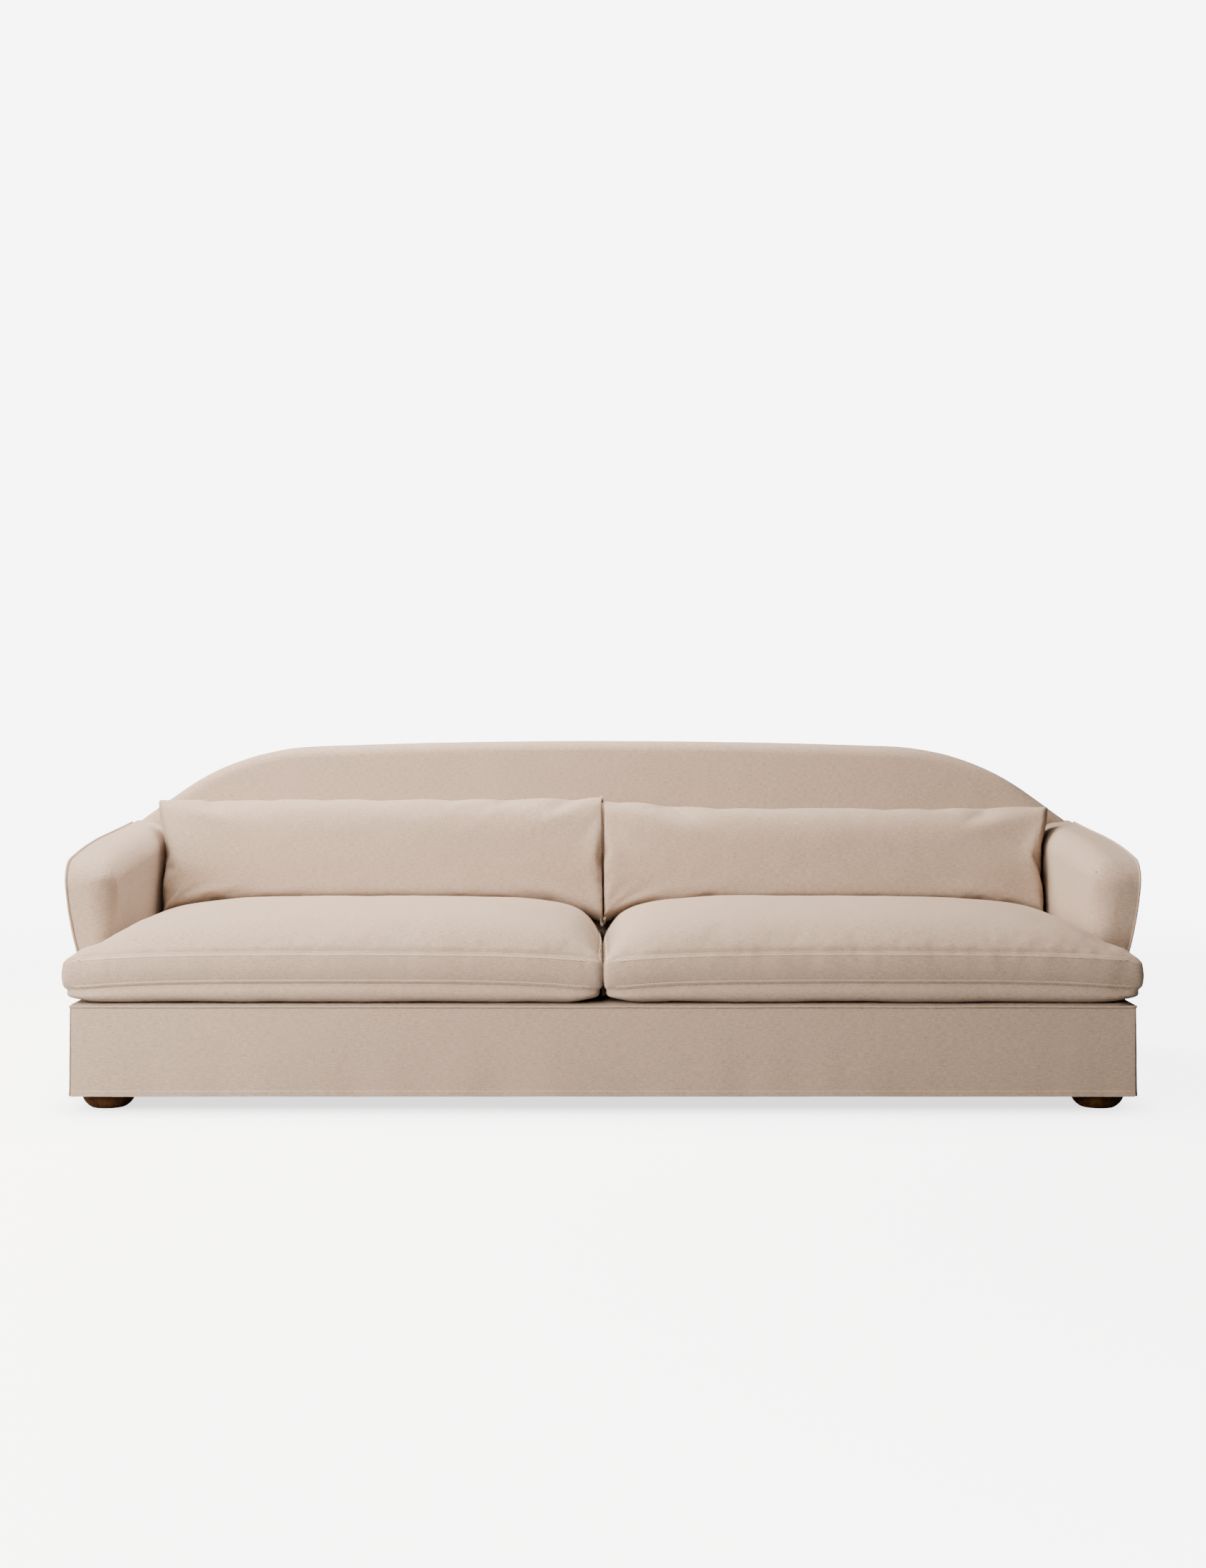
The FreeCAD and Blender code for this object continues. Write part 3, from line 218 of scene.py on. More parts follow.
def evenSpaced(path, spacing, closed=False):
    # The same path with points at an even spacing.
    if closed:
        path = path + [path[0]]
    lengths = [0.0]
    for a, b in zip(path, path[1:]):
        lengths.append(lengths[-1] + (b - a).length)
    count = max(2, round(lengths[-1] / spacing))
    spread, k = [], 0
    for i in range(count + (0 if closed else 1)):
        goal = lengths[-1] * i / count
        while k < len(path) - 2 and lengths[k + 1] < goal:
            k += 1
        share = (goal - lengths[k]) / max(1e-9, lengths[k + 1] - lengths[k])
        spread.append(path[k].lerp(path[k + 1], share))
    return spread


def cordAlong(name, path, radius, closed, sides):
    # A round cord along a path of points, made a mesh.
    curve = bpy.data.curves.new(name, "CURVE")
    curve.dimensions = "3D"
    curve.bevel_depth = radius
    curve.bevel_resolution = max(0, sides // 4 - 1)
    curve.use_fill_caps = not closed
    spline = curve.splines.new("POLY")
    spline.points.add(len(path) - 1)
    for point, place in zip(spline.points, path):
        point.co = (*place, 1)
    spline.use_cyclic_u = closed
    holder = addPiece(name, curve)
    graph = bpy.context.evaluated_depsgraph_get()
    mesh = bpy.data.meshes.new_from_object(holder.evaluated_get(graph))
    bpy.data.objects.remove(holder)
    bpy.data.curves.remove(curve)
    mesh.name = name
    piece = addPiece(name, mesh)
    smoothShade(piece)
    return piece


# Materials

class Wire:
    def __init__(self, bench, socket):
        self.bench = bench
        self.socket = socket

    def maths(self, operation, first, second):
        return self.bench.put("ShaderNodeMath", {"operation": operation}, {0: first, 1: second})

    def __add__(self, other): return self.maths("ADD", self, other)
    def __radd__(self, other): return self.maths("ADD", other, self)
    def __sub__(self, other): return self.maths("SUBTRACT", self, other)
    def __mul__(self, other): return self.maths("MULTIPLY", self, other)


class Bench:
    def __init__(self, name):
        self.material = bpy.data.materials.new(name)
        self.material.use_nodes = True
        self.tree = self.material.node_tree
        self.tree.nodes.clear()

    def put(self, kind, settings, sockets, out=0):
        node = self.tree.nodes.new(kind)
        for key, value in settings.items():
            if key == "stops":
                while len(node.color_ramp.elements) < len(value):
                    node.color_ramp.elements.new(0.5)
                for stop, (position, colour) in zip(node.color_ramp.elements, value):
                    stop.position = position
                    stop.color = colour
            else:
                setattr(node, key, value)
        for key, value in sockets.items():
            if isinstance(value, Wire):
                self.tree.links.new(value.socket, node.inputs[key])
            else:
                node.inputs[key].default_value = value
        return Wire(self, node.outputs[out]) if len(node.outputs) else None

    def objectPlace(self):
        return self.put("ShaderNodeTexCoord", {}, {}, "Object")

    def sine(self, value):
        return self.put("ShaderNodeMath", {"operation": "SINE"}, {0: value})

    def clouds(self, place, scale, detail=2.0, roughness=0.5):
        return self.put("ShaderNodeTexNoise", {}, {"Vector": place, "Scale": scale, "Detail": detail,
                                                   "Roughness": roughness}, "Fac")

    def blend(self, share, first, second):
        return self.put("ShaderNodeMix", {"data_type": "RGBA"}, {0: share, 6: first, 7: second}, 2)

    def finish(self, colour, roughness, height, bump, constants=None):
        sockets = {"Base Color": colour, "Roughness": roughness}
        sockets.update(constants or {})
        sockets["Normal"] = self.put("ShaderNodeBump", {}, {"Strength": bump["strength"],
                                                            "Distance": bump["distance"], "Height": height})
        shader = self.put("ShaderNodeBsdfPrincipled", {}, sockets)
        self.put("ShaderNodeOutputMaterial", {}, {"Surface": shader})
        return self.material


linenLook = {
    "light": (0.540, 0.443, 0.366, 1), "dark": (0.350, 0.277, 0.218, 1), "blush": (0.490, 0.375, 0.320, 1),
    "threadPitch": 0.0013, "streakLength": 75.0, "streakHeight": 430.0, "fleck": 700.0, "drift": 5.0,
    "tone": {"weft": 1.7, "warp": 1.0, "fleck": 1.1, "weave": 0.08},
    "relief": {"weave": 0.35, "weft": 1.2, "warp": 0.9, "fleck": 0.5},
    "blushFrom": 0.48, "blushTo": 0.72, "blushShare": 0.35, "roughness": 0.92,
    "bump": {"strength": 0.8, "distance": 0.0007},
    "sheen": {"Sheen Weight": 0.22, "Sheen Roughness": 0.45, "Sheen Tint": (0.95, 0.9, 0.85, 1),
              "Specular IOR Level": 0.2},
}


def linen(name, look, tint=1.0):
    bench = Bench(name)
    place = bench.put("ShaderNodeUVMap", {"uv_map": "weave"}, {}, "UV")
    u = bench.put("ShaderNodeSeparateXYZ", {}, {0: place}, "X")
    v = bench.put("ShaderNodeSeparateXYZ", {}, {0: place}, "Y")
    thin, long = look["streakHeight"], look["streakLength"]
    weftPlace = bench.put("ShaderNodeCombineXYZ", {}, {"X": u * long, "Y": v * thin})
    warpPlace = bench.put("ShaderNodeCombineXYZ", {}, {"X": u * thin, "Y": v * long, "Z": 7.0})
    weft = bench.clouds(weftPlace, 1.0, 2.0, 0.6)
    warp = bench.clouds(warpPlace, 1.0, 2.0, 0.6)
    fleck = bench.clouds(place, look["fleck"], 1.0)
    drift = bench.clouds(place, look["drift"], 3.0)
    turn = 2 * math.pi / look["threadPitch"]
    weave = bench.sine(u * turn) * bench.sine(v * turn)
    mix, relief = look["tone"], look["relief"]
    tone = (0.5 + (weft - 0.5) * mix["weft"] + (warp - 0.5) * mix["warp"] + (fleck - 0.5) * mix["fleck"]
            + weave * mix["weave"])
    share = bench.put("ShaderNodeClamp", {}, {"Value": tone})
    dark, light, blush = [tuple(c * tint for c in look[k][:3]) + (1,) for k in ("dark", "light", "blush")]
    colour = bench.blend(share, dark, light)
    stops = [(look["blushFrom"], (0, 0, 0, 1)), (look["blushTo"], (1, 1, 1, 1))]
    rosy = bench.put("ShaderNodeValToRGB", {"stops": stops}, {0: drift})
    rosyShare = bench.put("ShaderNodeSeparateColor", {}, {0: rosy}, "Red") * look["blushShare"]
    colour = bench.blend(rosyShare, colour, blush)
    height = weave * relief["weave"] + weft * relief["weft"] + warp * relief["warp"] + fleck * relief["fleck"]
    return bench.finish(colour, look["roughness"], height, look["bump"], look["sheen"])


def threadMaterial():
    bench = Bench("sewingThread")
    place = bench.objectPlace()
    twist = bench.clouds(place, 900.0, 1.0)
    colour = bench.blend(twist, (0.74, 0.66, 0.58, 1), (0.86, 0.79, 0.71, 1))
    return bench.finish(colour, 0.7, twist, {"strength": 0.3, "distance": 0.0002}, {"Sheen Weight": 0.2})


def turnedWood():
    bench = Bench("darkWalnut")
    place = bench.objectPlace()
    stretched = bench.put("ShaderNodeMapping", {}, {"Vector": place, "Scale": (1.0, 1.0, 0.12)})
    grain = bench.clouds(stretched, 160.0, 4.0, 0.65)
    bands = bench.clouds(stretched, 38.0, 2.0)
    share = bench.put("ShaderNodeClamp", {}, {"Value": (grain - 0.5) * 1.6 + (bands - 0.5) * 1.5 + 0.5})
    colour = bench.blend(share, (0.024, 0.009, 0.003, 1), (0.112, 0.047, 0.016, 1))
    return bench.finish(colour, 0.46 + grain * 0.15, grain, {"strength": 0.2, "distance": 0.0003},
                        {"Specular IOR Level": 0.12})


def planedWood(name, light, dark):
    bench = Bench(name)
    place = bench.objectPlace()
    stretched = bench.put("ShaderNodeMapping", {}, {"Vector": place, "Scale": (0.08, 1.0, 1.0)})
    grain = bench.clouds(stretched, 120.0, 4.0, 0.6)
    colour = bench.blend(grain, dark, light)
    return bench.finish(colour, 0.62, grain, {"strength": 0.25, "distance": 0.0004})


def softFinish(name, light, dark, scale, roughness=0.95):
    bench = Bench(name)
    place = bench.objectPlace()
    grain = bench.clouds(place, scale, 3.0, 0.6)
    colour = bench.blend(grain, dark, light)
    return bench.finish(colour, roughness, grain, {"strength": 0.4, "distance": 0.0005})


def metalFinish(name, light, dark, roughness):
    bench = Bench(name)
    place = bench.objectPlace()
    grain = bench.clouds(place, 240.0, 3.0)
    colour = bench.blend(grain, dark, light)
    return bench.finish(colour, roughness + grain * 0.15, grain, {"strength": 0.15, "distance": 0.0002},
                        {"Metallic": 1.0})


linenCloth = linen("oatmealLinen", linenLook)
pipingCloth = linen("pipingLinen", linenLook, 0.97)
# The deck's linen is darker: partly a plausible darker deck lining, partly painted shade for the gap under the
# cushions' overhang.
deckClothPaintedShade = linen("deckLinenPaintedShade", linenLook, 0.55)
thread = threadMaterial()
slotFinishes = {
    "linen": linenCloth,
    "filling": softFinish("foam", (0.86, 0.82, 0.70, 1), (0.74, 0.69, 0.56, 1), 900.0),
    "lining": softFinish("blackLining", (0.035, 0.035, 0.036, 1), (0.015, 0.015, 0.016, 1), 1400.0),
    "strip": softFinish("hookAndLoop", (0.62, 0.56, 0.46, 1), (0.48, 0.42, 0.34, 1), 1500.0),
    "zip_tape": softFinish("zipTape", (0.52, 0.44, 0.36, 1), (0.38, 0.31, 0.25, 1), 1200.0, 0.8),
    "frame_wood": planedWood("paleHardwood", (0.62, 0.43, 0.25, 1), (0.42, 0.27, 0.14, 1)),
    "board": planedWood("thinBoard", (0.50, 0.36, 0.22, 1), (0.36, 0.25, 0.15, 1)),
    "dark_wood": turnedWood(),
    "steel": metalFinish("bareSteel", (0.55, 0.56, 0.57, 1), (0.38, 0.39, 0.40, 1), 0.32),
    "felt": softFinish("feltGlide", (0.20, 0.18, 0.16, 1), (0.11, 0.10, 0.09, 1), 1100.0),
    "brass": metalFinish("dullBrass", (0.62, 0.47, 0.24, 1), (0.42, 0.30, 0.14, 1), 0.34),
}
for entry in frame["record"]["subparts"]:
    node = frame["nodes"][entry["node"]]
    node.data.materials.clear()
    node.data.materials.append(slotFinishes[entry["material_slot"]])


# Cloth that swells over its filling

fabricWays = {
    "quality": 5, "mass": 0.3, "shear_stiffness": 5, "tension_damping": 15, "compression_damping": 15,
    "air_damping": 4, "use_pressure": True,
}


def plump(piece, look):
    # Swells a closed case like air in a cover, and then holds each point within a cap of where it was.
    start = [v.co.copy() for v in piece.data.vertices]
    cloth = piece.modifiers.new("Plump", "CLOTH")
    fabric = cloth.settings
    for key, value in fabricWays.items():
        setattr(fabric, key, value)
    fabric.tension_stiffness = look["stiffness"]
    fabric.compression_stiffness = look["stiffness"]
    fabric.bending_stiffness = look["bending"]
    fabric.uniform_pressure_force = look["pressure"]
    fabric.effector_weights.gravity = 0
    cloth.point_cache.frame_start = 1
    cloth.point_cache.frame_end = look["frames"]
    for number in range(1, look["frames"] + 1):
        bpy.context.scene.frame_set(number)
    bakeModifiers(piece)
    bpy.context.scene.frame_set(1)
    for vertex, place in zip(piece.data.vertices, start):
        move = vertex.co - place
        if move.length > look["cap"]:
            vertex.co = place + move * (look["cap"] / move.length)
    piece.data.update()


def asFilling(piece, body, nodeName):
    piece.data.materials.clear()
    piece.data.materials.append(slotFinishes["filling"])
    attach(piece, body)
    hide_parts(nodeName)


def fillCase(piece, body, side, nodeName, gap):
    # The filling inside a finished case: the same form, a little smaller.
    filling = addPiece(f"{body}_filling_{side}", piece.data.copy())
    relax(filling, 2)
    pushOut(filling, lambda place, normal: -gap)
    thinner = filling.modifiers.new("Fewer", "DECIMATE")
    thinner.ratio = 0.2
    bakeModifiers(filling)
    smoothShade(filling)
    asFilling(filling, f"{body}_{side}", nodeName)


def wander(place, scale, seed=0.0):
    return noise.noise(Vector((place[0] * scale + seed, place[1] * scale - seed, place[2] * scale + 3 * seed)))


def waviness(place, waves):
    # The sum of soft waves, each with its size, scale and seed.
    return sum(size * wander(place, scale, seed) for size, scale, seed in waves)


def bell(distance, width):
    return math.exp(-(distance / width) ** 2)


def step(low, high, value):
    share = min(1.0, max(0.0, (value - low) / (high - low)))
    return share * share * (3 - 2 * share)


# Seat cushions

seatCushion = {
    "voxel": 0.010, "upperSeam": 0.363, "lowerSeam": 0.291, "droop": 0.019, "droopReach": 0.130,
    "earEnd": 1.213, "innerEnd": 0.004, "armFace": 1.141, "rear": 0.221, "front": -0.5155, "earRear": -0.351,
    "top": 0.4515, "foot": 0.2434, "lowest": 0.2431, "soleFullness": 0.62, "endFullness": 0.74,
    "endReach": 0.08, "toeReach": 0.12, "toe": 0.6, "toeStart": 0.25, "proud": (0.0012, 0.004),
    "sagTop": (0.415, 0.365), "sagFoot": (0.243, 0.285), "seamInset": 0.030, "seamSearch": 0.060,
    "grooveDepth": 0.0035, "grooveWidth": 0.006, "pucker": 0.45, "bulge": 0.004, "bulgeWidth": 0.024,
    "waves": 0.0028, "ripple": 0.00176, "rippleWidth": 0.045, "rearGap": 0.0006, "fillingGap": 0.006,
    "cornerRadii": [0.012, 0.020, 0.012, 0.004, 0.012, 0.012],
    "tapeWidth": 0.009, "tapeRise": 0.0012, "stitchPitch": 0.0022, "stitchRadius": 0.00065,
    "swell": {"pressure": 3.5, "frames": 16, "cap": 0.007, "stiffness": 20, "bending": 2.0},
}


def seamDrop(x):
    # How far the seams hang below their middle height at a place along one cushion.
    look = seatCushion
    outer = look["earEnd"] - abs(x)
    inner = abs(x) - look["innerEnd"]
    return look["droop"] * max(math.exp(-max(0, outer) / look["droopReach"]),
                               math.exp(-max(0, inner) / look["droopReach"]))


def seatOutline(sign, out):
    # The cushion from above, out from its sides, anticlockwise for the right one.
    look = seatCushion
    corners = [(look["innerEnd"] - out, look["front"] - out), (look["earEnd"] + out, look["front"] - out),
               (look["earEnd"] + out, look["earRear"] + out), (look["armFace"] + out, look["earRear"] + out),
               (look["armFace"] + out, look["rear"] + out), (look["innerEnd"] - out, look["rear"] + out)]
    return [Vector((sign * x, y, 0)) for x, y in corners]


def seamRing(piece, sign, height, offsets):
    # Rows of points round a cushion that lie on its side at each offset down from a seam.
    look = seatCushion
    tree = BVHTree.FromObject(piece, bpy.context.evaluated_depsgraph_get())
    reach = look["seamSearch"]
    corners = seatOutline(sign, -look["seamInset"])
    start = [corners[0].lerp(corners[-1], 0.5)]
    path = roundedPath(start + corners + start, look["cornerRadii"])
    loop = evenSpaced(path[:-1], look["stitchPitch"] * 2, True)
    rows = [[] for _ in offsets]
    count = len(loop)
    for i, place in enumerate(loop):
        ahead = (loop[(i + 3) % count] - loop[i - 3]).normalized()
        out = Vector((ahead.y, -ahead.x, 0)) * sign
        for row, (down, proud) in zip(rows, offsets):
            z = height - seamDrop(place.x) - down
            origin = Vector((place.x, place.y, z)) + out * reach * 2
            hit = tree.ray_cast(origin, -out, reach * 3)[0]
            row.append((hit if hit is not None else origin - out * reach) + out * proud)
    for row in rows:
        evenRow(row)
    return rows


def evenRow(row):
    # Takes the jumps out of a closed row of points.
    for _ in range(3):
        middle = [(row[i - 1] + row[i] * 2 + row[(i + 1) % len(row)]) / 4 for i in range(len(row))]
        row[:] = middle


def ribbon(name, rows):
    # A closed band through rows of points.
    bm = bmesh.new()
    loops = []
    for row in rows:
        made = [bm.verts.new(p) for p in row]
        loops.append([bm.edges.new((made[i - 1], made[i])) for i in range(len(made))])
    for upper, lower in zip(loops, loops[1:]):
        bmesh.ops.bridge_loops(bm, edges=upper + lower)
    bmesh.ops.recalc_face_normals(bm, faces=bm.faces)
    return pieceFromBmesh(name, bm)


def seatSeams(piece, side, sign):
    # The two felled seams: a raised band each, with a row of zigzag stitches.
    look = seatCushion
    rise, width = look["tapeRise"], look["tapeWidth"]
    for label, height, way in (("upper", look["upperSeam"], 1), ("lower", look["lowerSeam"], -1)):
        profile = [(-0.0004, -0.0015), (0.0, rise), (0.0025, rise * 1.3), (width - 0.002, rise * 1.1),
                   (width, rise * 0.6), (width + 0.0004, -0.0010)]
        rows = seamRing(piece, sign, height, [(way * down, proud) for down, proud in profile])
        band = ribbon(f"seat_seam_{label}_{side}", rows)
        smoothShade(band)
        dress(band, linenCloth, f"seat_cushion_{side}")
        near, far = seamRing(piece, sign, height, [(way * 0.0052, rise * 1.3), (way * 0.0085, rise * 1.1)])
        zigzag = [(near, far)[i % 2][i] for i in range(len(near) - len(near) % 2)]
        stitches = cordAlong(f"seat_stitches_{label}_{side}", zigzag, look["stitchRadius"], True, 4)
        dress(stitches, thread, f"seat_cushion_{side}")


def makeSeat(side, sign):
    look = seatCushion
    core = frame["nodes"][f"seat_cushion_core_{side}"]
    piece = addPiece(f"seat_cushion_{side}", core.data.copy())
    bm = bmeshOf(piece)
    bmesh.ops.remove_doubles(bm, verts=bm.verts, dist=0.0001)
    giveBack(bm, piece)
    evenMesh(piece, look["voxel"])
    relax(piece, 2)
    plump(piece, look["swell"])
    relax(piece, 1)
    refine(piece)
    fitSeat(piece)
    sagSeams(piece)
    shapeSeat(piece, sign)
    smoothShade(piece)
    seatSeams(piece, side, sign)
    fillCase(piece, "seat_cushion", side, f"seat_cushion_core_{side}", look["fillingGap"])
    dress(piece, linenCloth, f"seat_cushion_{side}")
    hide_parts(f"seat_cushion_cover_{side}")
    print("seat cushion", side, len(piece.data.polygons), "faces")


def fitSeat(piece):
    # Brings the swollen cushion back to its height, with a fuller underside.
    look = seatCushion
    spots = piece.data.vertices
    foot, top = extent(spots, 2)
    reach = min(abs(v.co.x) for v in spots), max(abs(v.co.x) for v in spots)
    front, rear = extent(spots, 1)
    for vertex in spots:
        place = vertex.co
        share = (abs(place.x) - reach[0]) / (reach[1] - reach[0])
        inner, outer = look["innerEnd"] - look["proud"][0], look["earEnd"] + look["proud"][1]
        place.x = math.copysign(inner + share * (outer - inner), place.x)
        place.y = look["front"] + (place.y - front) / (rear - front) * (look["rear"] - look["front"])
        if place.z > look["upperSeam"]:
            share = (place.z - look["upperSeam"]) / (top - look["upperSeam"])
            place.z = look["upperSeam"] + share * (look["top"] - look["upperSeam"])
        elif place.z < look["lowerSeam"]:
            share = min(1.0, (look["lowerSeam"] - place.z) / (look["lowerSeam"] - foot))
            near = min(look["earEnd"] - abs(place.x), abs(place.x) - look["innerEnd"])
            middle = step(0.0, look["endReach"], near)
            curve = look["endFullness"] + (look["soleFullness"] - look["endFullness"]) * middle
            place.z = look["lowerSeam"] - share ** curve * (look["lowerSeam"] - look["foot"])
            behind = (place.y - look["front"]) / look["toeReach"]
            if 0 < behind < 1:
                power = 1 + look["toe"] * middle * min(1.0, share / look["toeStart"])
                place.y = look["front"] + look["toeReach"] * behind ** power
    piece.data.update()


def sagSeams(piece):
    look = seatCushion
    for vertex in piece.data.vertices:
        place = vertex.co
        hold = step(*look["sagTop"], place.z) * step(*look["sagFoot"], place.z)
        place.z -= seamDrop(place.x) * hold


def shapeSeat(piece, sign):
    # Draws the seams in, lets the sides bulge between them and gives the top its soft waves.
    look = seatCushion
    seed = 11.0 + sign

    def amount(place, normal):
        side = 1 - abs(normal.z) ** 4
        drop = seamDrop(place.x)
        up = place.z - (look["upperSeam"] - drop)
        low = place.z - (look["lowerSeam"] - drop)
        groove = bell(up, look["grooveWidth"]) + bell(low, look["grooveWidth"])
        pucker = 1 + look["pucker"] * wander(place, 38.0, seed)
        middle = (look["upperSeam"] + look["lowerSeam"]) / 2 - drop
        bulge = bell(place.z - middle, look["bulgeWidth"]) * look["bulge"]
        waves = look["waves"] * (wander(place, 5.5, seed) + 0.5 * wander(place, 13.0, seed + 4))
        upright = (place.x, place.y, place.z * 0.25)
        ripple = look["ripple"] * wander(upright, 46.0, seed + 9) * bell(up, look["rippleWidth"])
        return side * (bulge - look["grooveDepth"] * groove * pucker) + waves + ripple

    pushOut(piece, amount)
    rear = look["rear"] - look["rearGap"]
    for vertex in piece.data.vertices:
        vertex.co.y = min(vertex.co.y, rear)
        vertex.co.z = max(vertex.co.z, look["lowest"])
    piece.data.update()


# Lumbar pillows

pillow = {
    "foot": (0.575, 0.1771, 0.3675), "lean": math.radians(16.01),
    "width": 1.132, "height": 0.322, "thickness": 0.160, "cutWidth": 1.185, "cutHeight": 0.372, "grid": 0.0095,
    "footRise": 0.044, "footReach": 0.100, "armCornerLift": 0.004,
    "swell": {"pressure": 3.0, "frames": 20, "cap": 1.0, "stiffness": 25, "bending": 0.8},
    "endReach": 0.009, "footFill": 0.010, "settle": 0.10, "cornerDrop": 0.014, "straighten": 0.94,
    "innerReach": 0.026, "outerReach": 0.025, "pressed": 0.0025, "endStart": 0.25, "fillingGap": 0.005,
    "clothGap": 0.006, "startSwell": 0.012, "startReach": (0.55, 0.17), "startWaves": 0.002,
    "slices": {"across": 80, "up": 24, "foot": 40}, "thinnest": 0.004,
    "endThick": 0.14, "endStretch": (0.8, 3.4),
    "footThick": 0.20, "footStretch": (1.0, 4.0), "footZone": (0.20, 0.06),
    "innerStart": 0.10, "outerStart": 0.22, "cornerZone": (0.55, 1.0), "liftPower": 1.4,
    "waves": ((0.0022, 6.0), (0.0008, 24.0)), "quickSwell": 6, "quickReach": (0.60, 0.19),
}
pillowWays = {  # how each pillow sits: its height, its top corners' rise and its waves
    "left": {"height": 1.0, "innerCorner": 0.012, "outerCorner": -0.002, "seed": 21.0},
    "right": {"height": 0.925, "innerCorner": 0.020, "outerCorner": 0.004, "seed": 34.0},
}


def pillowCase(name, seed):
    # Two sheets of cloth sewn together round their edges, flat and upright.
    look = pillow
    bm = uprightGrid(look["cutWidth"], look["cutHeight"], look["grid"], look["grid"])
    front = list(bm.faces)
    again = bmesh.ops.duplicate(bm, geom=front + list(bm.edges) + list(bm.verts))
    rear = [g for g in again["geom"] if isinstance(g, bmesh.types.BMFace)]
    bmesh.ops.reverse_faces(bm, faces=rear)
    rearSpots = {v for f in rear for v in f.verts}
    bmesh.ops.translate(bm, vec=(0, look["clothGap"], 0), verts=list(rearSpots))
    rims = [e for e in bm.edges if e.is_boundary]
    bmesh.ops.bridge_loops(bm, edges=rims)
    bmesh.ops.recalc_face_normals(bm, faces=bm.faces)
    wide, tall = look["startReach"]
    for vertex in bm.verts:
        thick = bell(vertex.co.x, wide) * bell(vertex.co.z, tall)
        way = 1 if vertex in rearSpots else -1
        vertex.co.y += way * look["startSwell"] * thick + look["startWaves"] * wander(vertex.co, 9.0, seed)
    return pieceFromBmesh(name, bm)


def spanAlong(spots, along, across, slices):
    # The lowest and highest reach of a form in one direction, at each place along another.
    low, high = extent(spots, along)
    table = [[1.0, -1.0] for _ in range(slices + 1)]
    for vertex in spots:
        row = table[round((vertex.co[along] - low) / (high - low) * slices)]
        row[0] = min(row[0], vertex.co[across])
        row[1] = max(row[1], vertex.co[across])
    for _ in range(3):
        inner = [[(a[k] + 2 * b[k] + c[k]) / 4 for k in (0, 1)] for a, b, c in zip(table, table[1:], table[2:])]
        table = [table[0]] + inner + [table[-1]]

    def at(value):
        place = min(slices - 1e-6, max(0.0, (value - low) / (high - low) * slices))
        k = int(place)
        return [table[k][i] + (table[k + 1][i] - table[k][i]) * (place - k) for i in (0, 1)]
    return at


def squareUp(piece, share):
    # Takes most of the waist out of a swollen case, so that its edges run nearly straight.
    spots, slices = piece.data.vertices, pillow["slices"]
    for along, across, count in ((2, 0, slices["up"]), (0, 2, slices["across"])):
        at = spanAlong(spots, along, across, count)
        low, high = extent(spots, across)
        for vertex in spots:
            first, last = at(vertex.co[along])
            spread = (vertex.co[across] - first) / (last - first)
            vertex.co[across] += (low + spread * (high - low) - vertex.co[across]) * share


def fullness(least, reach, near):
    # How full a form is at a distance from its edge, from its least share there up to one.
    return least + (1 - least) * (1 - math.exp(-near / reach))


def fillEnds(spots, look):
    # Plumps the pillow's ends, which swell less than its middle.
    at = spanAlong(spots, 0, 1, look["slices"]["across"])
    half = max(v.co.x for v in spots)
    full = max(v.co.y for v in spots) - min(v.co.y for v in spots)
    for vertex in spots:
        low, high = at(vertex.co.x)
        near = half - abs(vertex.co.x)
        aim = full * fullness(look["endThick"], look["endReach"], near)
        least, most = look["endStretch"]
        vertex.co.y *= min(most, max(least, aim / max(look["thinnest"], high - low)))
    at = spanAlong(spots, 2, 1, look["slices"]["foot"])
    foot = min(v.co.z for v in spots)
    for vertex in spots:
        near = vertex.co.z - foot
        low, high = at(vertex.co.z)
        aim = full * fullness(look["footThick"], look["footFill"], near)
        grow = 1 + (aim / max(look["thinnest"], high - low) - 1) * step(*look["footZone"], near)
        least, most = look["footStretch"]
        vertex.co.y *= min(most, max(least, grow))


def fitPillow(piece, side, sign):
    # Sizes the swollen pillow, shapes its foot to the seat and leans it against the back.
    look, way = pillow, pillowWays[side]
    squareUp(piece, look["straighten"])
    relax(piece, 3)
    spots = piece.data.vertices
    fillEnds(spots, look)
    spans = [extent(spots, axis) for axis in range(3)]
    tall = look["height"] * way["height"]
    for vertex in spots:
        x, y, z = [(c - low) / (high - low) for c, (low, high) in zip(vertex.co, spans)]
        near = min(x, 1 - x) * look["width"]
        x = (x - 0.5) * look["width"]
        y = (y - 0.5) * look["thickness"]
        inner = step(look["innerStart"], 0.5, -x * sign / look["width"])
        outer = step(look["outerStart"], 0.5, x * sign / look["width"])
        start = look["armCornerLift"] if x * sign > 0 else -look["cornerDrop"]
        lift = start + (look["footRise"] - start) * (1 - math.exp(-near / look["footReach"]))
        z -= look["settle"] * math.sin(math.pi * z)
        z = z * tall + (1 - z) ** look["liftPower"] * lift
        corners = way["innerCorner"] * inner ** 2 + way["outerCorner"] * outer ** 2
        z += step(*look["cornerZone"], z / tall) * corners
        toEnd = step(look["endStart"], 0.5, abs(x) / look["width"])
        if x * sign > 0:
            x += sign * look["outerReach"] * step(0.5, 1.0, z / tall) * toEnd
        else:
            x -= sign * look["innerReach"] * toEnd
            x = sign * max(x * sign, look["pressed"] - look["foot"][0])
        vertex.co = (x, y, min(z, look["height"]))
    turn = Matrix.Rotation(-look["lean"], 4, "X")
    x, y, z = look["foot"]
    piece.data.transform(Matrix.Translation((sign * x, y, z)) @ turn)
    piece.data.update()


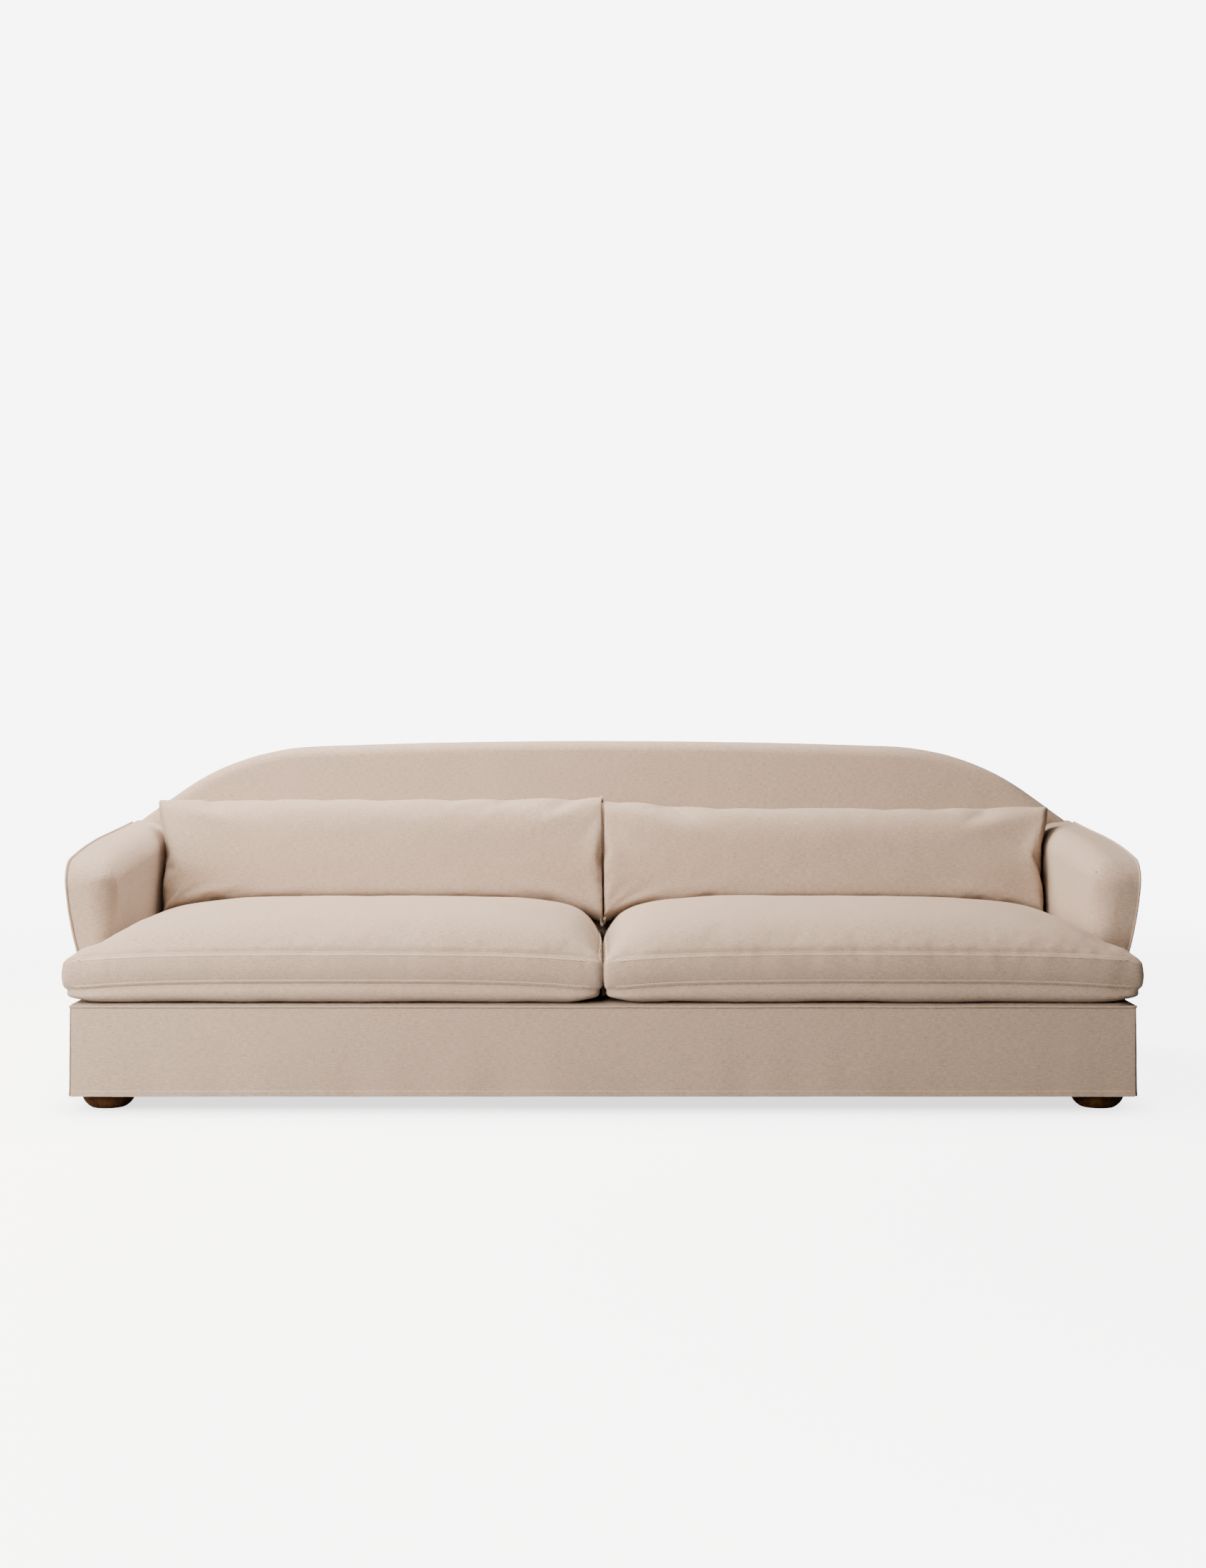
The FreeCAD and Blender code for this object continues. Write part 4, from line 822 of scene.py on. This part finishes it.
def makePillow(side, sign):
    look, way = pillow, pillowWays[side]
    piece = pillowCase(f"lumbar_pillow_{side}", way["seed"])
    plump(piece, look["swell"])
    refine(piece)
    fitPillow(piece, side, sign)
    waves = [(size, scale, way["seed"]) for size, scale in look["waves"]]
    pushOut(piece, lambda place, normal: waviness(place, waves))
    smoothShade(piece)
    fillCase(piece, "lumbar_pillow", side, f"pillow_insert_{side}", look["fillingGap"])
    dress(piece, linenCloth, f"lumbar_pillow_{side}")
    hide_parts(f"pillow_cover_{side}")
    print("lumbar pillow", side, len(piece.data.polygons), "faces")


for side, sign in sides.items():
    makeSeat(side, sign)
    makePillow(side, sign)


# The back and the arms

upholstery = {
    "backSpacing": 0.018, "armSpacing": 0.011, "panelSpacing": 0.018, "padSpacing": 0.025, "padInset": 0.014,
    "backWaves": ((0.0022, 3.2, 5.0), (0.0008, 15.0, 8.0)), "rearWaves": 0.0015, "rearOut": 0.0005,
    "noseDip": 0.026, "dipStart": 0.05, "dipLength": 0.39, "dipZone": (0.38, 0.56),
    "railHold": 0.2, "railZone": (1.20, 1.16),
    "flare": 0.0095, "flareAcross": (1.19, 1.24), "flareUp": (0.30, 0.46), "flareAlong": (0.20, -0.25),
    "noseCentre": (1.220, -0.272), "noseSize": (0.074, 0.068), "noseZone": (0.39, 0.45),
    "armWaves": (0.0014, 0.0008), "drag": 0.0007, "dragPitch": 62.0, "dragZone": (-0.05, -0.33),
    "freeZone": (1.245, 1.215), "panelOut": 0.0011, "panelWaves": 0.0010, "padGap": 0.004,
}


def makeBack():
    look = upholstery

    def inner(place, normal):
        return waviness(place, look["backWaves"])

    def outer(place, normal):
        return look["rearWaves"] * wander(place, 4.0, 2.0) * abs(normal.y) + look["rearOut"]

    for name, amount in (("inside_back", inner), ("outside_back", outer)):
        piece = bodyFrom(name, f"slipcover_{name}", look["backSpacing"])
        pushOut(piece, amount)
        smoothShade(piece, 38)
        dress(piece, linenCloth)
        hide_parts(f"slipcover_{name}")
        print(name, len(piece.data.polygons), "faces")


def noseDip(place):
    # How far the arm's top sinks towards its front, under the pull of the cover.
    look = upholstery
    inner = step(*look["railZone"], abs(place.x))  # the rail's corner holds the cover up there
    deep = look["noseDip"] * (1 - look["railHold"] * inner)
    along = max(0.0, (look["dipStart"] - place.y) / look["dipLength"])
    return deep * along ** 2 * step(*look["dipZone"], place.z)


def dipNose(piece):
    for vertex in piece.data.vertices:
        vertex.co.z -= noseDip(vertex.co)
    piece.data.update()


def roundNose(piece, inset=0.0):
    # Turns the arm's front softly into its inner side, above the seat.
    look = upholstery
    (middle, depth), (wide, long) = look["noseCentre"], look["noseSize"]
    for vertex in piece.data.vertices:
        place = vertex.co
        across, along = abs(place.x) - middle, place.y - depth
        if across < 0 and along < 0:
            ratio = math.hypot(across / (wide - inset), along / (long - inset))
            if ratio > 1:
                share = (1 - 1 / ratio) * step(*look["noseZone"], place.z)
                place.x = math.copysign(middle + across * (1 - share), place.x)
                place.y = depth + along * (1 - share)
        place.x += math.copysign(noseFlare(place), place.x)
    piece.data.update()


def noseFlare(place):
    # How far the arm's outer edge leans out near its front.
    look = upholstery
    outer = step(*look["flareAcross"], abs(place.x))
    return look["flare"] * outer * step(*look["flareUp"], place.z) * step(*look["flareAlong"], place.y)


def makeArm(side, sign):
    look = upholstery
    piece = bodyFrom(f"inside_arm_{side}", f"slipcover_inside_arm_{side}", look["armSpacing"])
    roundNose(piece)
    dipNose(piece)

    def amount(place, normal):
        front = step(*look["dragZone"], place.y)
        drag = math.sin((place.z * 1.5 + place.y) * look["dragPitch"] + 2.2 * wander(place, 7.0, 3.0))
        free = step(*look["freeZone"], abs(place.x))
        broad, fine = look["armWaves"]
        return free * (broad * wander(place, 7.0, 6.0 + sign) + look["drag"] * drag * front
                       + fine * wander(place, 21.0, sign))

    pushOut(piece, amount)
    softShade(piece, 14)
    dress(piece, linenCloth)
    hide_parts(f"slipcover_inside_arm_{side}")
    panel = slicedCopy(f"outside_arm_{side}", f"slipcover_outside_arm_{side}", look["panelSpacing"])
    for vertex in panel.data.vertices:
        vertex.co.x += sign * noseFlare(vertex.co)
    dipNose(panel)
    pushOut(panel, lambda place, normal: look["panelOut"] + look["panelWaves"] * wander(place, 6.0, 4.0 + sign))
    smoothShade(panel, 40)
    dress(panel, linenCloth)
    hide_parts(f"slipcover_outside_arm_{side}")
    pad = bodyFrom(f"arm_padding_{side}", f"arm_pad_{side}", look["padSpacing"])
    roundNose(pad, look["padInset"])
    dipNose(pad)
    pushOut(pad, lambda place, normal: -look["padGap"])
    smoothShade(pad, 40)
    asFilling(pad, "sofa_frame", f"arm_pad_{side}")
    print("arm", side, len(piece.data.polygons) + len(panel.data.polygons), "faces")


def slicedCopy(name, nodeName, spacing):
    # A copy of a thin solid, cut through by planes.
    bm = bmesh.new()
    bm.from_mesh(frame["nodes"][nodeName].data)
    bmesh.ops.remove_doubles(bm, verts=bm.verts, dist=0.00005)
    cutThrough(bm, spacing)
    return pieceFromBmesh(name, bm)


makeBack()
for side, sign in sides.items():
    makeArm(side, sign)


# Deck and skirt

skirt = {
    "hem": 0.036, "top": 0.2342, "thickness": 0.0025, "spacing": 0.010, "rowHeight": 0.006, "flare": 0.0052,
    "sideFlare": 0.0022, "wave": 0.0062, "hemDepth": 0.012, "hemRise": 0.0006,
    "rowReach": 0.0028, "stitchPitch": 0.0011, "stitchRadius": 0.00045, "stitchDepth": (-0.0005, 0.0006),
    "endHold": 0.10, "crease": 0.0007, "hemWave": 0.0016,
}
base = {"halfX": 1.198, "halfY": 0.502, "slack": 0.0005}


def hangingPanel(name, length, seed, flare):
    # A panel along X that hangs from Z top, its outer side at -Y, waving more towards its hem.
    look = skirt
    tall = look["top"] - look["hem"]
    bm = uprightGrid(length, tall, look["spacing"], look["rowHeight"])
    bmesh.ops.translate(bm, vec=(0, 0, look["top"] - tall / 2), verts=bm.verts)
    for vertex in bm.verts:
        x, z = vertex.co.x, vertex.co.z
        down = max(0.0, (look["top"] - z) / tall)
        end = min(1.0, (length / 2 - abs(x)) / look["endHold"])
        folds = wander((x, 0, 0), 4.6, seed) + 0.6 * wander((x, 0, 0), 11.0, seed + 3)
        crease = look["crease"] * wander((x * 1.3, 0, z * 2.2), 20.0, seed)
        vertex.co.y = -flare * down - look["wave"] * down ** 1.6 * folds * (0.3 + 0.7 * end) - crease * down
        vertex.co.z += look["hemWave"] * down ** 3 * folds
        if z < look["hem"] + look["hemDepth"]:
            vertex.co.y -= look["hemRise"]
    bmesh.ops.recalc_face_normals(bm, faces=bm.faces)
    if sum(f.normal.y for f in bm.faces) > 0:
        bmesh.ops.reverse_faces(bm, faces=bm.faces)
    line = look["hem"] + look["hemDepth"]
    row = [v.co.copy() for v in bm.verts if abs(v.co.z - line) < look["rowReach"]]
    row.sort(key=lambda p: p.x)
    return pieceFromBmesh(name, bm), row


def hemStitches(place, row, turn):
    # A row of long stitches that holds the hem, proud of the panel's outer side.
    out, under = skirt["stitchDepth"]
    spots = evenSpaced([p + Vector((0, -0.0002, 0)) for p in row], skirt["stitchPitch"])
    line = [p + Vector((0, out if i % 4 < 2 else under, 0)) for i, p in enumerate(spots)]
    piece = cordAlong(f"hem_stitches_{place}", line, skirt["stitchRadius"], False, 4)
    piece.data.transform(turn)
    dress(piece, thread)


def makeSkirt():
    look = skirt
    out = base["slack"] + look["thickness"]
    offX, offY = base["halfX"] + out, base["halfY"] + out
    front = 2 * (base["halfX"] - 0.0005)
    sideLength = 2 * offY - 0.001
    plans = {
        "front": (front, 0, (0, -offY)), "right": (sideLength, 90, (offX, 0)),
        "back": (front, 180, (0, offY)), "left": (sideLength, 270, (-offX, 0)),
    }
    for number, (place, (length, degrees, (x, y))) in enumerate(plans.items()):
        flare = look["flare"] if place in ("front", "back") else look["sideFlare"]
        piece, row = hangingPanel(f"skirt_panel_{place}", length, 40.0 + 7 * number, flare)
        turn = Matrix.Translation((x, y, 0)) @ Matrix.Rotation(math.radians(degrees), 4, "Z")
        piece.data.transform(turn)
        hemStitches(place, row, turn)
        wall = piece.modifiers.new("Thick", "SOLIDIFY")
        wall.thickness = look["thickness"]
        wall.offset = -1
        bakeModifiers(piece)
        smoothShade(piece, 50)
        dress(piece, linenCloth)
        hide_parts(f"skirt_{place}")
    print("skirt panels")


hidden = {
    "deckSpacing": 0.030, "deckTurned": (0.04, 0.02), "deckArea": 1.72, "deckWaves": 0.0008,
    "dustSpacing": 0.040, "dustSag": 0.005,
}


def makeDeck():
    piece = slicedCopy("cloth_deck", "slipcover_deck", hidden["deckSpacing"])
    pushOut(piece, lambda place, normal: hidden["deckWaves"] * wander(place, 8.0, 3.0))
    smoothShade(piece, 40)
    # The darker deck linen is partly painted shade under the cushions' overhang.
    dress(piece, deckClothPaintedShade)
    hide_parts("slipcover_deck")
    print("deck")


def makeDustCover():
    piece = slicedCopy("under_cover", "dust_cover", hidden["dustSpacing"])
    low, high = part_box("dust_cover")
    for vertex in piece.data.vertices:
        middle = [math.cos(math.pi * vertex.co[k] / (high[k] - low[k])) for k in (0, 1)]
        vertex.co.z -= hidden["dustSag"] * max(0.0, middle[0] * middle[1]) ** 0.7
    smoothShade(piece, 40)
    dress(piece, slotFinishes["lining"])
    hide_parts("dust_cover")
    print("dust cover")


makeSkirt()
makeDeck()
makeDustCover()


# Piping

piping = {
    "radius": 0.0030, "spacing": 0.008, "height": 0.2373, "bend": 0.0036, "baseOut": 0.0033, "armOut": 0.0005,
    "waves": ((0.00022, 130.0, 2.0), (0.0004, 17.0, 5.0)), "sag": 0.0012,
}
armShape = {
    "frontY": -0.340, "rearY": 0.3235, "frontTop": 0.570, "slope": 0.0655, "baseX": 1.198, "flankX": 1.228,
    "flankZ": 0.360, "flankRadius": 0.400, "topX": 1.251, "topZ": 0.614, "noseRadius": 0.060, "foot": 0.2443,
}
archShape = {
    "haunchZ": 0.606, "shoulderX": 0.982, "crownSlope": 0.041, "crownReach": 0.776, "top": 0.829,
    "haunchRadius": 0.050, "shoulderRadius": 0.600, "edgeRadius": 0.022, "edgeOut": 0.004,
    "centreZ": 0.45, "sideX": 1.1, "sideZ": 0.6,
}


def flankX(z):
    look = armShape
    share = (z - look["flankZ"]) / (look["topZ"] - look["flankZ"])
    return look["flankX"] + (look["topX"] - look["flankX"]) * share


def sewnCord(name, path, closed=False):
    # Piping: a cord in its cloth sleeve, which puckers a little along its length.
    path = evenSpaced(path, piping["spacing"] / 2, closed)
    piece = cordAlong(name, path, piping["radius"], closed, 12)
    pushOut(piece, lambda place, normal: waviness(place, piping["waves"]))
    return piece


def makeBaseWelt():
    x, y, z = base["halfX"] + piping["baseOut"], base["halfY"] + piping["baseOut"], piping["height"]
    corners = [Vector((a, b, z)) for a, b in ((0, -y), (x, -y), (x, y), (-x, y), (-x, -y), (0, -y))]
    path = roundedPath(corners, [piping["bend"]] * 4)[:-1]
    piece = sewnCord("base_piping", path, True)
    for vertex in piece.data.vertices:
        vertex.co.z += piping["sag"] * wander((vertex.co.x, vertex.co.y, 0), 3.5, 12.0)
    dress(piece, pipingCloth)
    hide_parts("base_welt")


def makeArmWelt(side, sign):
    look = armShape
    out = piping["armOut"]
    y0 = look["frontY"] - out
    lift = out / math.cos(math.atan(look["slope"]))
    frontTop = look["frontTop"] + look["slope"] * (y0 - look["frontY"]) + lift
    rearTop = look["frontTop"] + look["slope"] * (look["rearY"] - look["frontY"]) + lift
    corners = [(look["baseX"] + out, y0, look["foot"]), (look["flankX"] + out, y0, look["flankZ"]),
               (flankX(frontTop) + out, y0, frontTop), (flankX(rearTop) + out, look["rearY"], rearTop)]
    places = [Vector((sign * x, y, z)) for x, y, z in corners]
    path = roundedPath(places, [look["flankRadius"], look["noseRadius"] + out], 14)
    path = evenSpaced(path, piping["spacing"])
    for place in path:
        place.x += sign * noseFlare(place)
        place.z -= noseDip(place)
    piece = sewnCord(f"arm_piping_{side}", path)
    dress(piece, pipingCloth)
    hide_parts(f"arm_welt_{side}")


def makeBackWelt():
    look, arm = archShape, armShape
    crownRadius = look["crownReach"] / look["crownSlope"]
    apex = look["top"] + crownRadius * (1 / math.cos(math.atan(look["crownSlope"])) - 1)
    shoulderZ = apex - look["crownSlope"] * look["shoulderX"]
    inward = look["edgeRadius"] - (look["edgeRadius"] + look["edgeOut"]) * math.sqrt(0.5)
    y = base["halfY"] - inward
    half = [(arm["baseX"], arm["foot"]), (arm["flankX"], arm["flankZ"]),
            (flankX(look["haunchZ"]), look["haunchZ"]), (look["shoulderX"], shoulderZ)]
    radii = [arm["flankRadius"], look["haunchRadius"], look["shoulderRadius"]]
    corners = half + [(0, apex)] + [(-x, z) for x, z in reversed(half)]
    places = [Vector((x, y, z)) for x, z in corners]
    path = roundedPath(places, radii + [crownRadius] + radii[::-1], 16)
    for place in path:
        away = Vector((place.x, 0, place.z - look["centreZ"])).normalized()
        if abs(place.x) > look["sideX"] and place.z < look["sideZ"]:
            away = Vector((math.copysign(1, place.x), 0, 0))
        place -= away * inward
    piece = sewnCord("back_piping", path)
    dress(piece, pipingCloth)
    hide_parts("back_welt")


makeBaseWelt()
for side, sign in sides.items():
    makeArmWelt(side, sign)
makeBackWelt()
print("piping")


# Studio

studio = {
    "camera": (0.0, -5.105, 0.870), "lens": 46.89, "shiftY": -0.0370,
    "floor": (0.64, 0.64, 0.64, 1), "floorGlow": 7.2, "floorBounce": (0.20, 0.215, 0.23, 1),
    "shadeX": 1.10, "shadeY": 0.42, "shadeEdge": 0.20, "paintedShadowGlow": 0.26, "nearGlow": 0.74, "farStart": 0.8,
    "farEnd": 5.0,
    "backdrop": (7.4, (1, 1, 1, 1)), "world": (0.034, (0.87, 0.945, 1.0, 1)),
    "lampAim": (-0.5, -0.25, 0.35), "lampSize": 1.9, "lampTint": (1.0, 0.845, 0.715),
}
lamps = {  # place and power
    "lowLamp": ((-3.3, -3.6, 1.4), 44),
    "nearLamp": ((-2.7, -2.3, 1.5), 188),
    "highLamp": ((-2.2, -1.6, 2.4), 50),
    "frontLamp": ((-1.8, -4.6, 2.2), 152),
    "rearLamp": ((-0.8, 0.9, 3.0), 318),
}


def makeBackdrop(look):
    # A pale surround: one brightness where it is seen, and a softer one that lights the sofa.
    world = bpy.data.worlds.new("studioWorld")
    bpy.context.scene.world = world
    world.use_nodes = True
    tree = world.node_tree
    tree.nodes.clear()
    seen = tree.nodes.new("ShaderNodeLightPath")
    mix = tree.nodes.new("ShaderNodeMixShader")
    out = tree.nodes.new("ShaderNodeOutputWorld")
    tree.links.new(seen.outputs["Is Camera Ray"], mix.inputs[0])
    for number, (strength, colour) in ((1, look["world"]), (2, look["backdrop"])):
        background = tree.nodes.new("ShaderNodeBackground")
        background.inputs["Strength"].default_value = strength
        background.inputs["Color"].default_value = colour
        tree.links.new(background.outputs[0], mix.inputs[number])
    tree.links.new(mix.outputs[0], out.inputs["Surface"])


def makeStudio():
    look = studio
    bm = bmesh.new()
    bmesh.ops.create_grid(bm, x_segments=1, y_segments=1, size=20.0)
    floor = pieceFromBmesh("studio_floor", bm)
    bench = Bench("paleFloor")
    seen = bench.put("ShaderNodeLightPath", {}, {}, "Is Camera Ray")
    place = bench.objectPlace()
    grain = bench.clouds(place, 3.0)
    pale = bench.blend(grain, look["floor"], tuple(c * 0.995 for c in look["floor"][:3]) + (1,))
    shown = bench.put("ShaderNodeBsdfDiffuse", {}, {"Color": pale})
    # The floor's glow is dimmed under the sofa's footprint, a painted contact shadow. Outside it the glow is
    # lower near the sofa, where the lamps light the floor, and full far off, so that the floor reads even.
    spot = bench.put("ShaderNodeVectorMath", {"operation": "ABSOLUTE"}, {0: place})
    edge = (look["shadeX"], look["shadeY"], 0.0)
    past = bench.put("ShaderNodeVectorMath", {"operation": "SUBTRACT"}, {0: spot, 1: edge})
    past = bench.put("ShaderNodeVectorMath", {"operation": "MAXIMUM"}, {0: past, 1: (0.0, 0.0, 0.0)})
    away = bench.put("ShaderNodeVectorMath", {"operation": "LENGTH"}, {0: past}, "Value")
    clear = bench.put("ShaderNodeMapRange", {"interpolation_type": "SMOOTHSTEP"},
                      {"Value": away, "From Max": look["shadeEdge"]})
    far = bench.put("ShaderNodeMapRange", {"interpolation_type": "SMOOTHSTEP"},
                    {"Value": away, "From Min": look["farStart"], "From Max": look["farEnd"]})
    dim, near = (look["paintedShadowGlow"],) * 3 + (1,), (look["nearGlow"],) * 3 + (1,)
    glowColour = bench.blend(far, bench.blend(clear, dim, near), (1, 1, 1, 1))
    glow = bench.put("ShaderNodeEmission", {}, {"Color": glowColour, "Strength": look["floorGlow"]})
    lit = bench.put("ShaderNodeAddShader", {}, {0: shown, 1: glow})
    bounce = bench.put("ShaderNodeBsdfDiffuse", {}, {"Color": look["floorBounce"]})
    both = bench.put("ShaderNodeMixShader", {}, {0: seen, 1: bounce, 2: lit})
    bench.put("ShaderNodeOutputMaterial", {}, {"Surface": both})
    floor.data.materials.append(bench.material)
    makeBackdrop(look)
    for name, (place, power) in lamps.items():
        light = bpy.data.lights.new(name, "AREA")
        light.size = look["lampSize"]
        light.energy = power
        light.color = look["lampTint"]
        lamp = bpy.data.objects.new(name, light)
        bpy.context.scene.collection.objects.link(lamp)
        lamp.location = place
        lamp.rotation_euler = (Vector(look["lampAim"]) - Vector(place)).to_track_quat("-Z", "Y").to_euler()
    lens = bpy.data.cameras.new("camera")
    lens.lens = look["lens"]
    lens.shift_y = look["shiftY"]
    camera = bpy.data.objects.new("camera", lens)
    bpy.context.scene.collection.objects.link(camera)
    camera.location = look["camera"]
    camera.rotation_euler = (math.radians(90), 0, 0)
    bpy.context.scene.camera = camera


makeStudio()
print("studio")
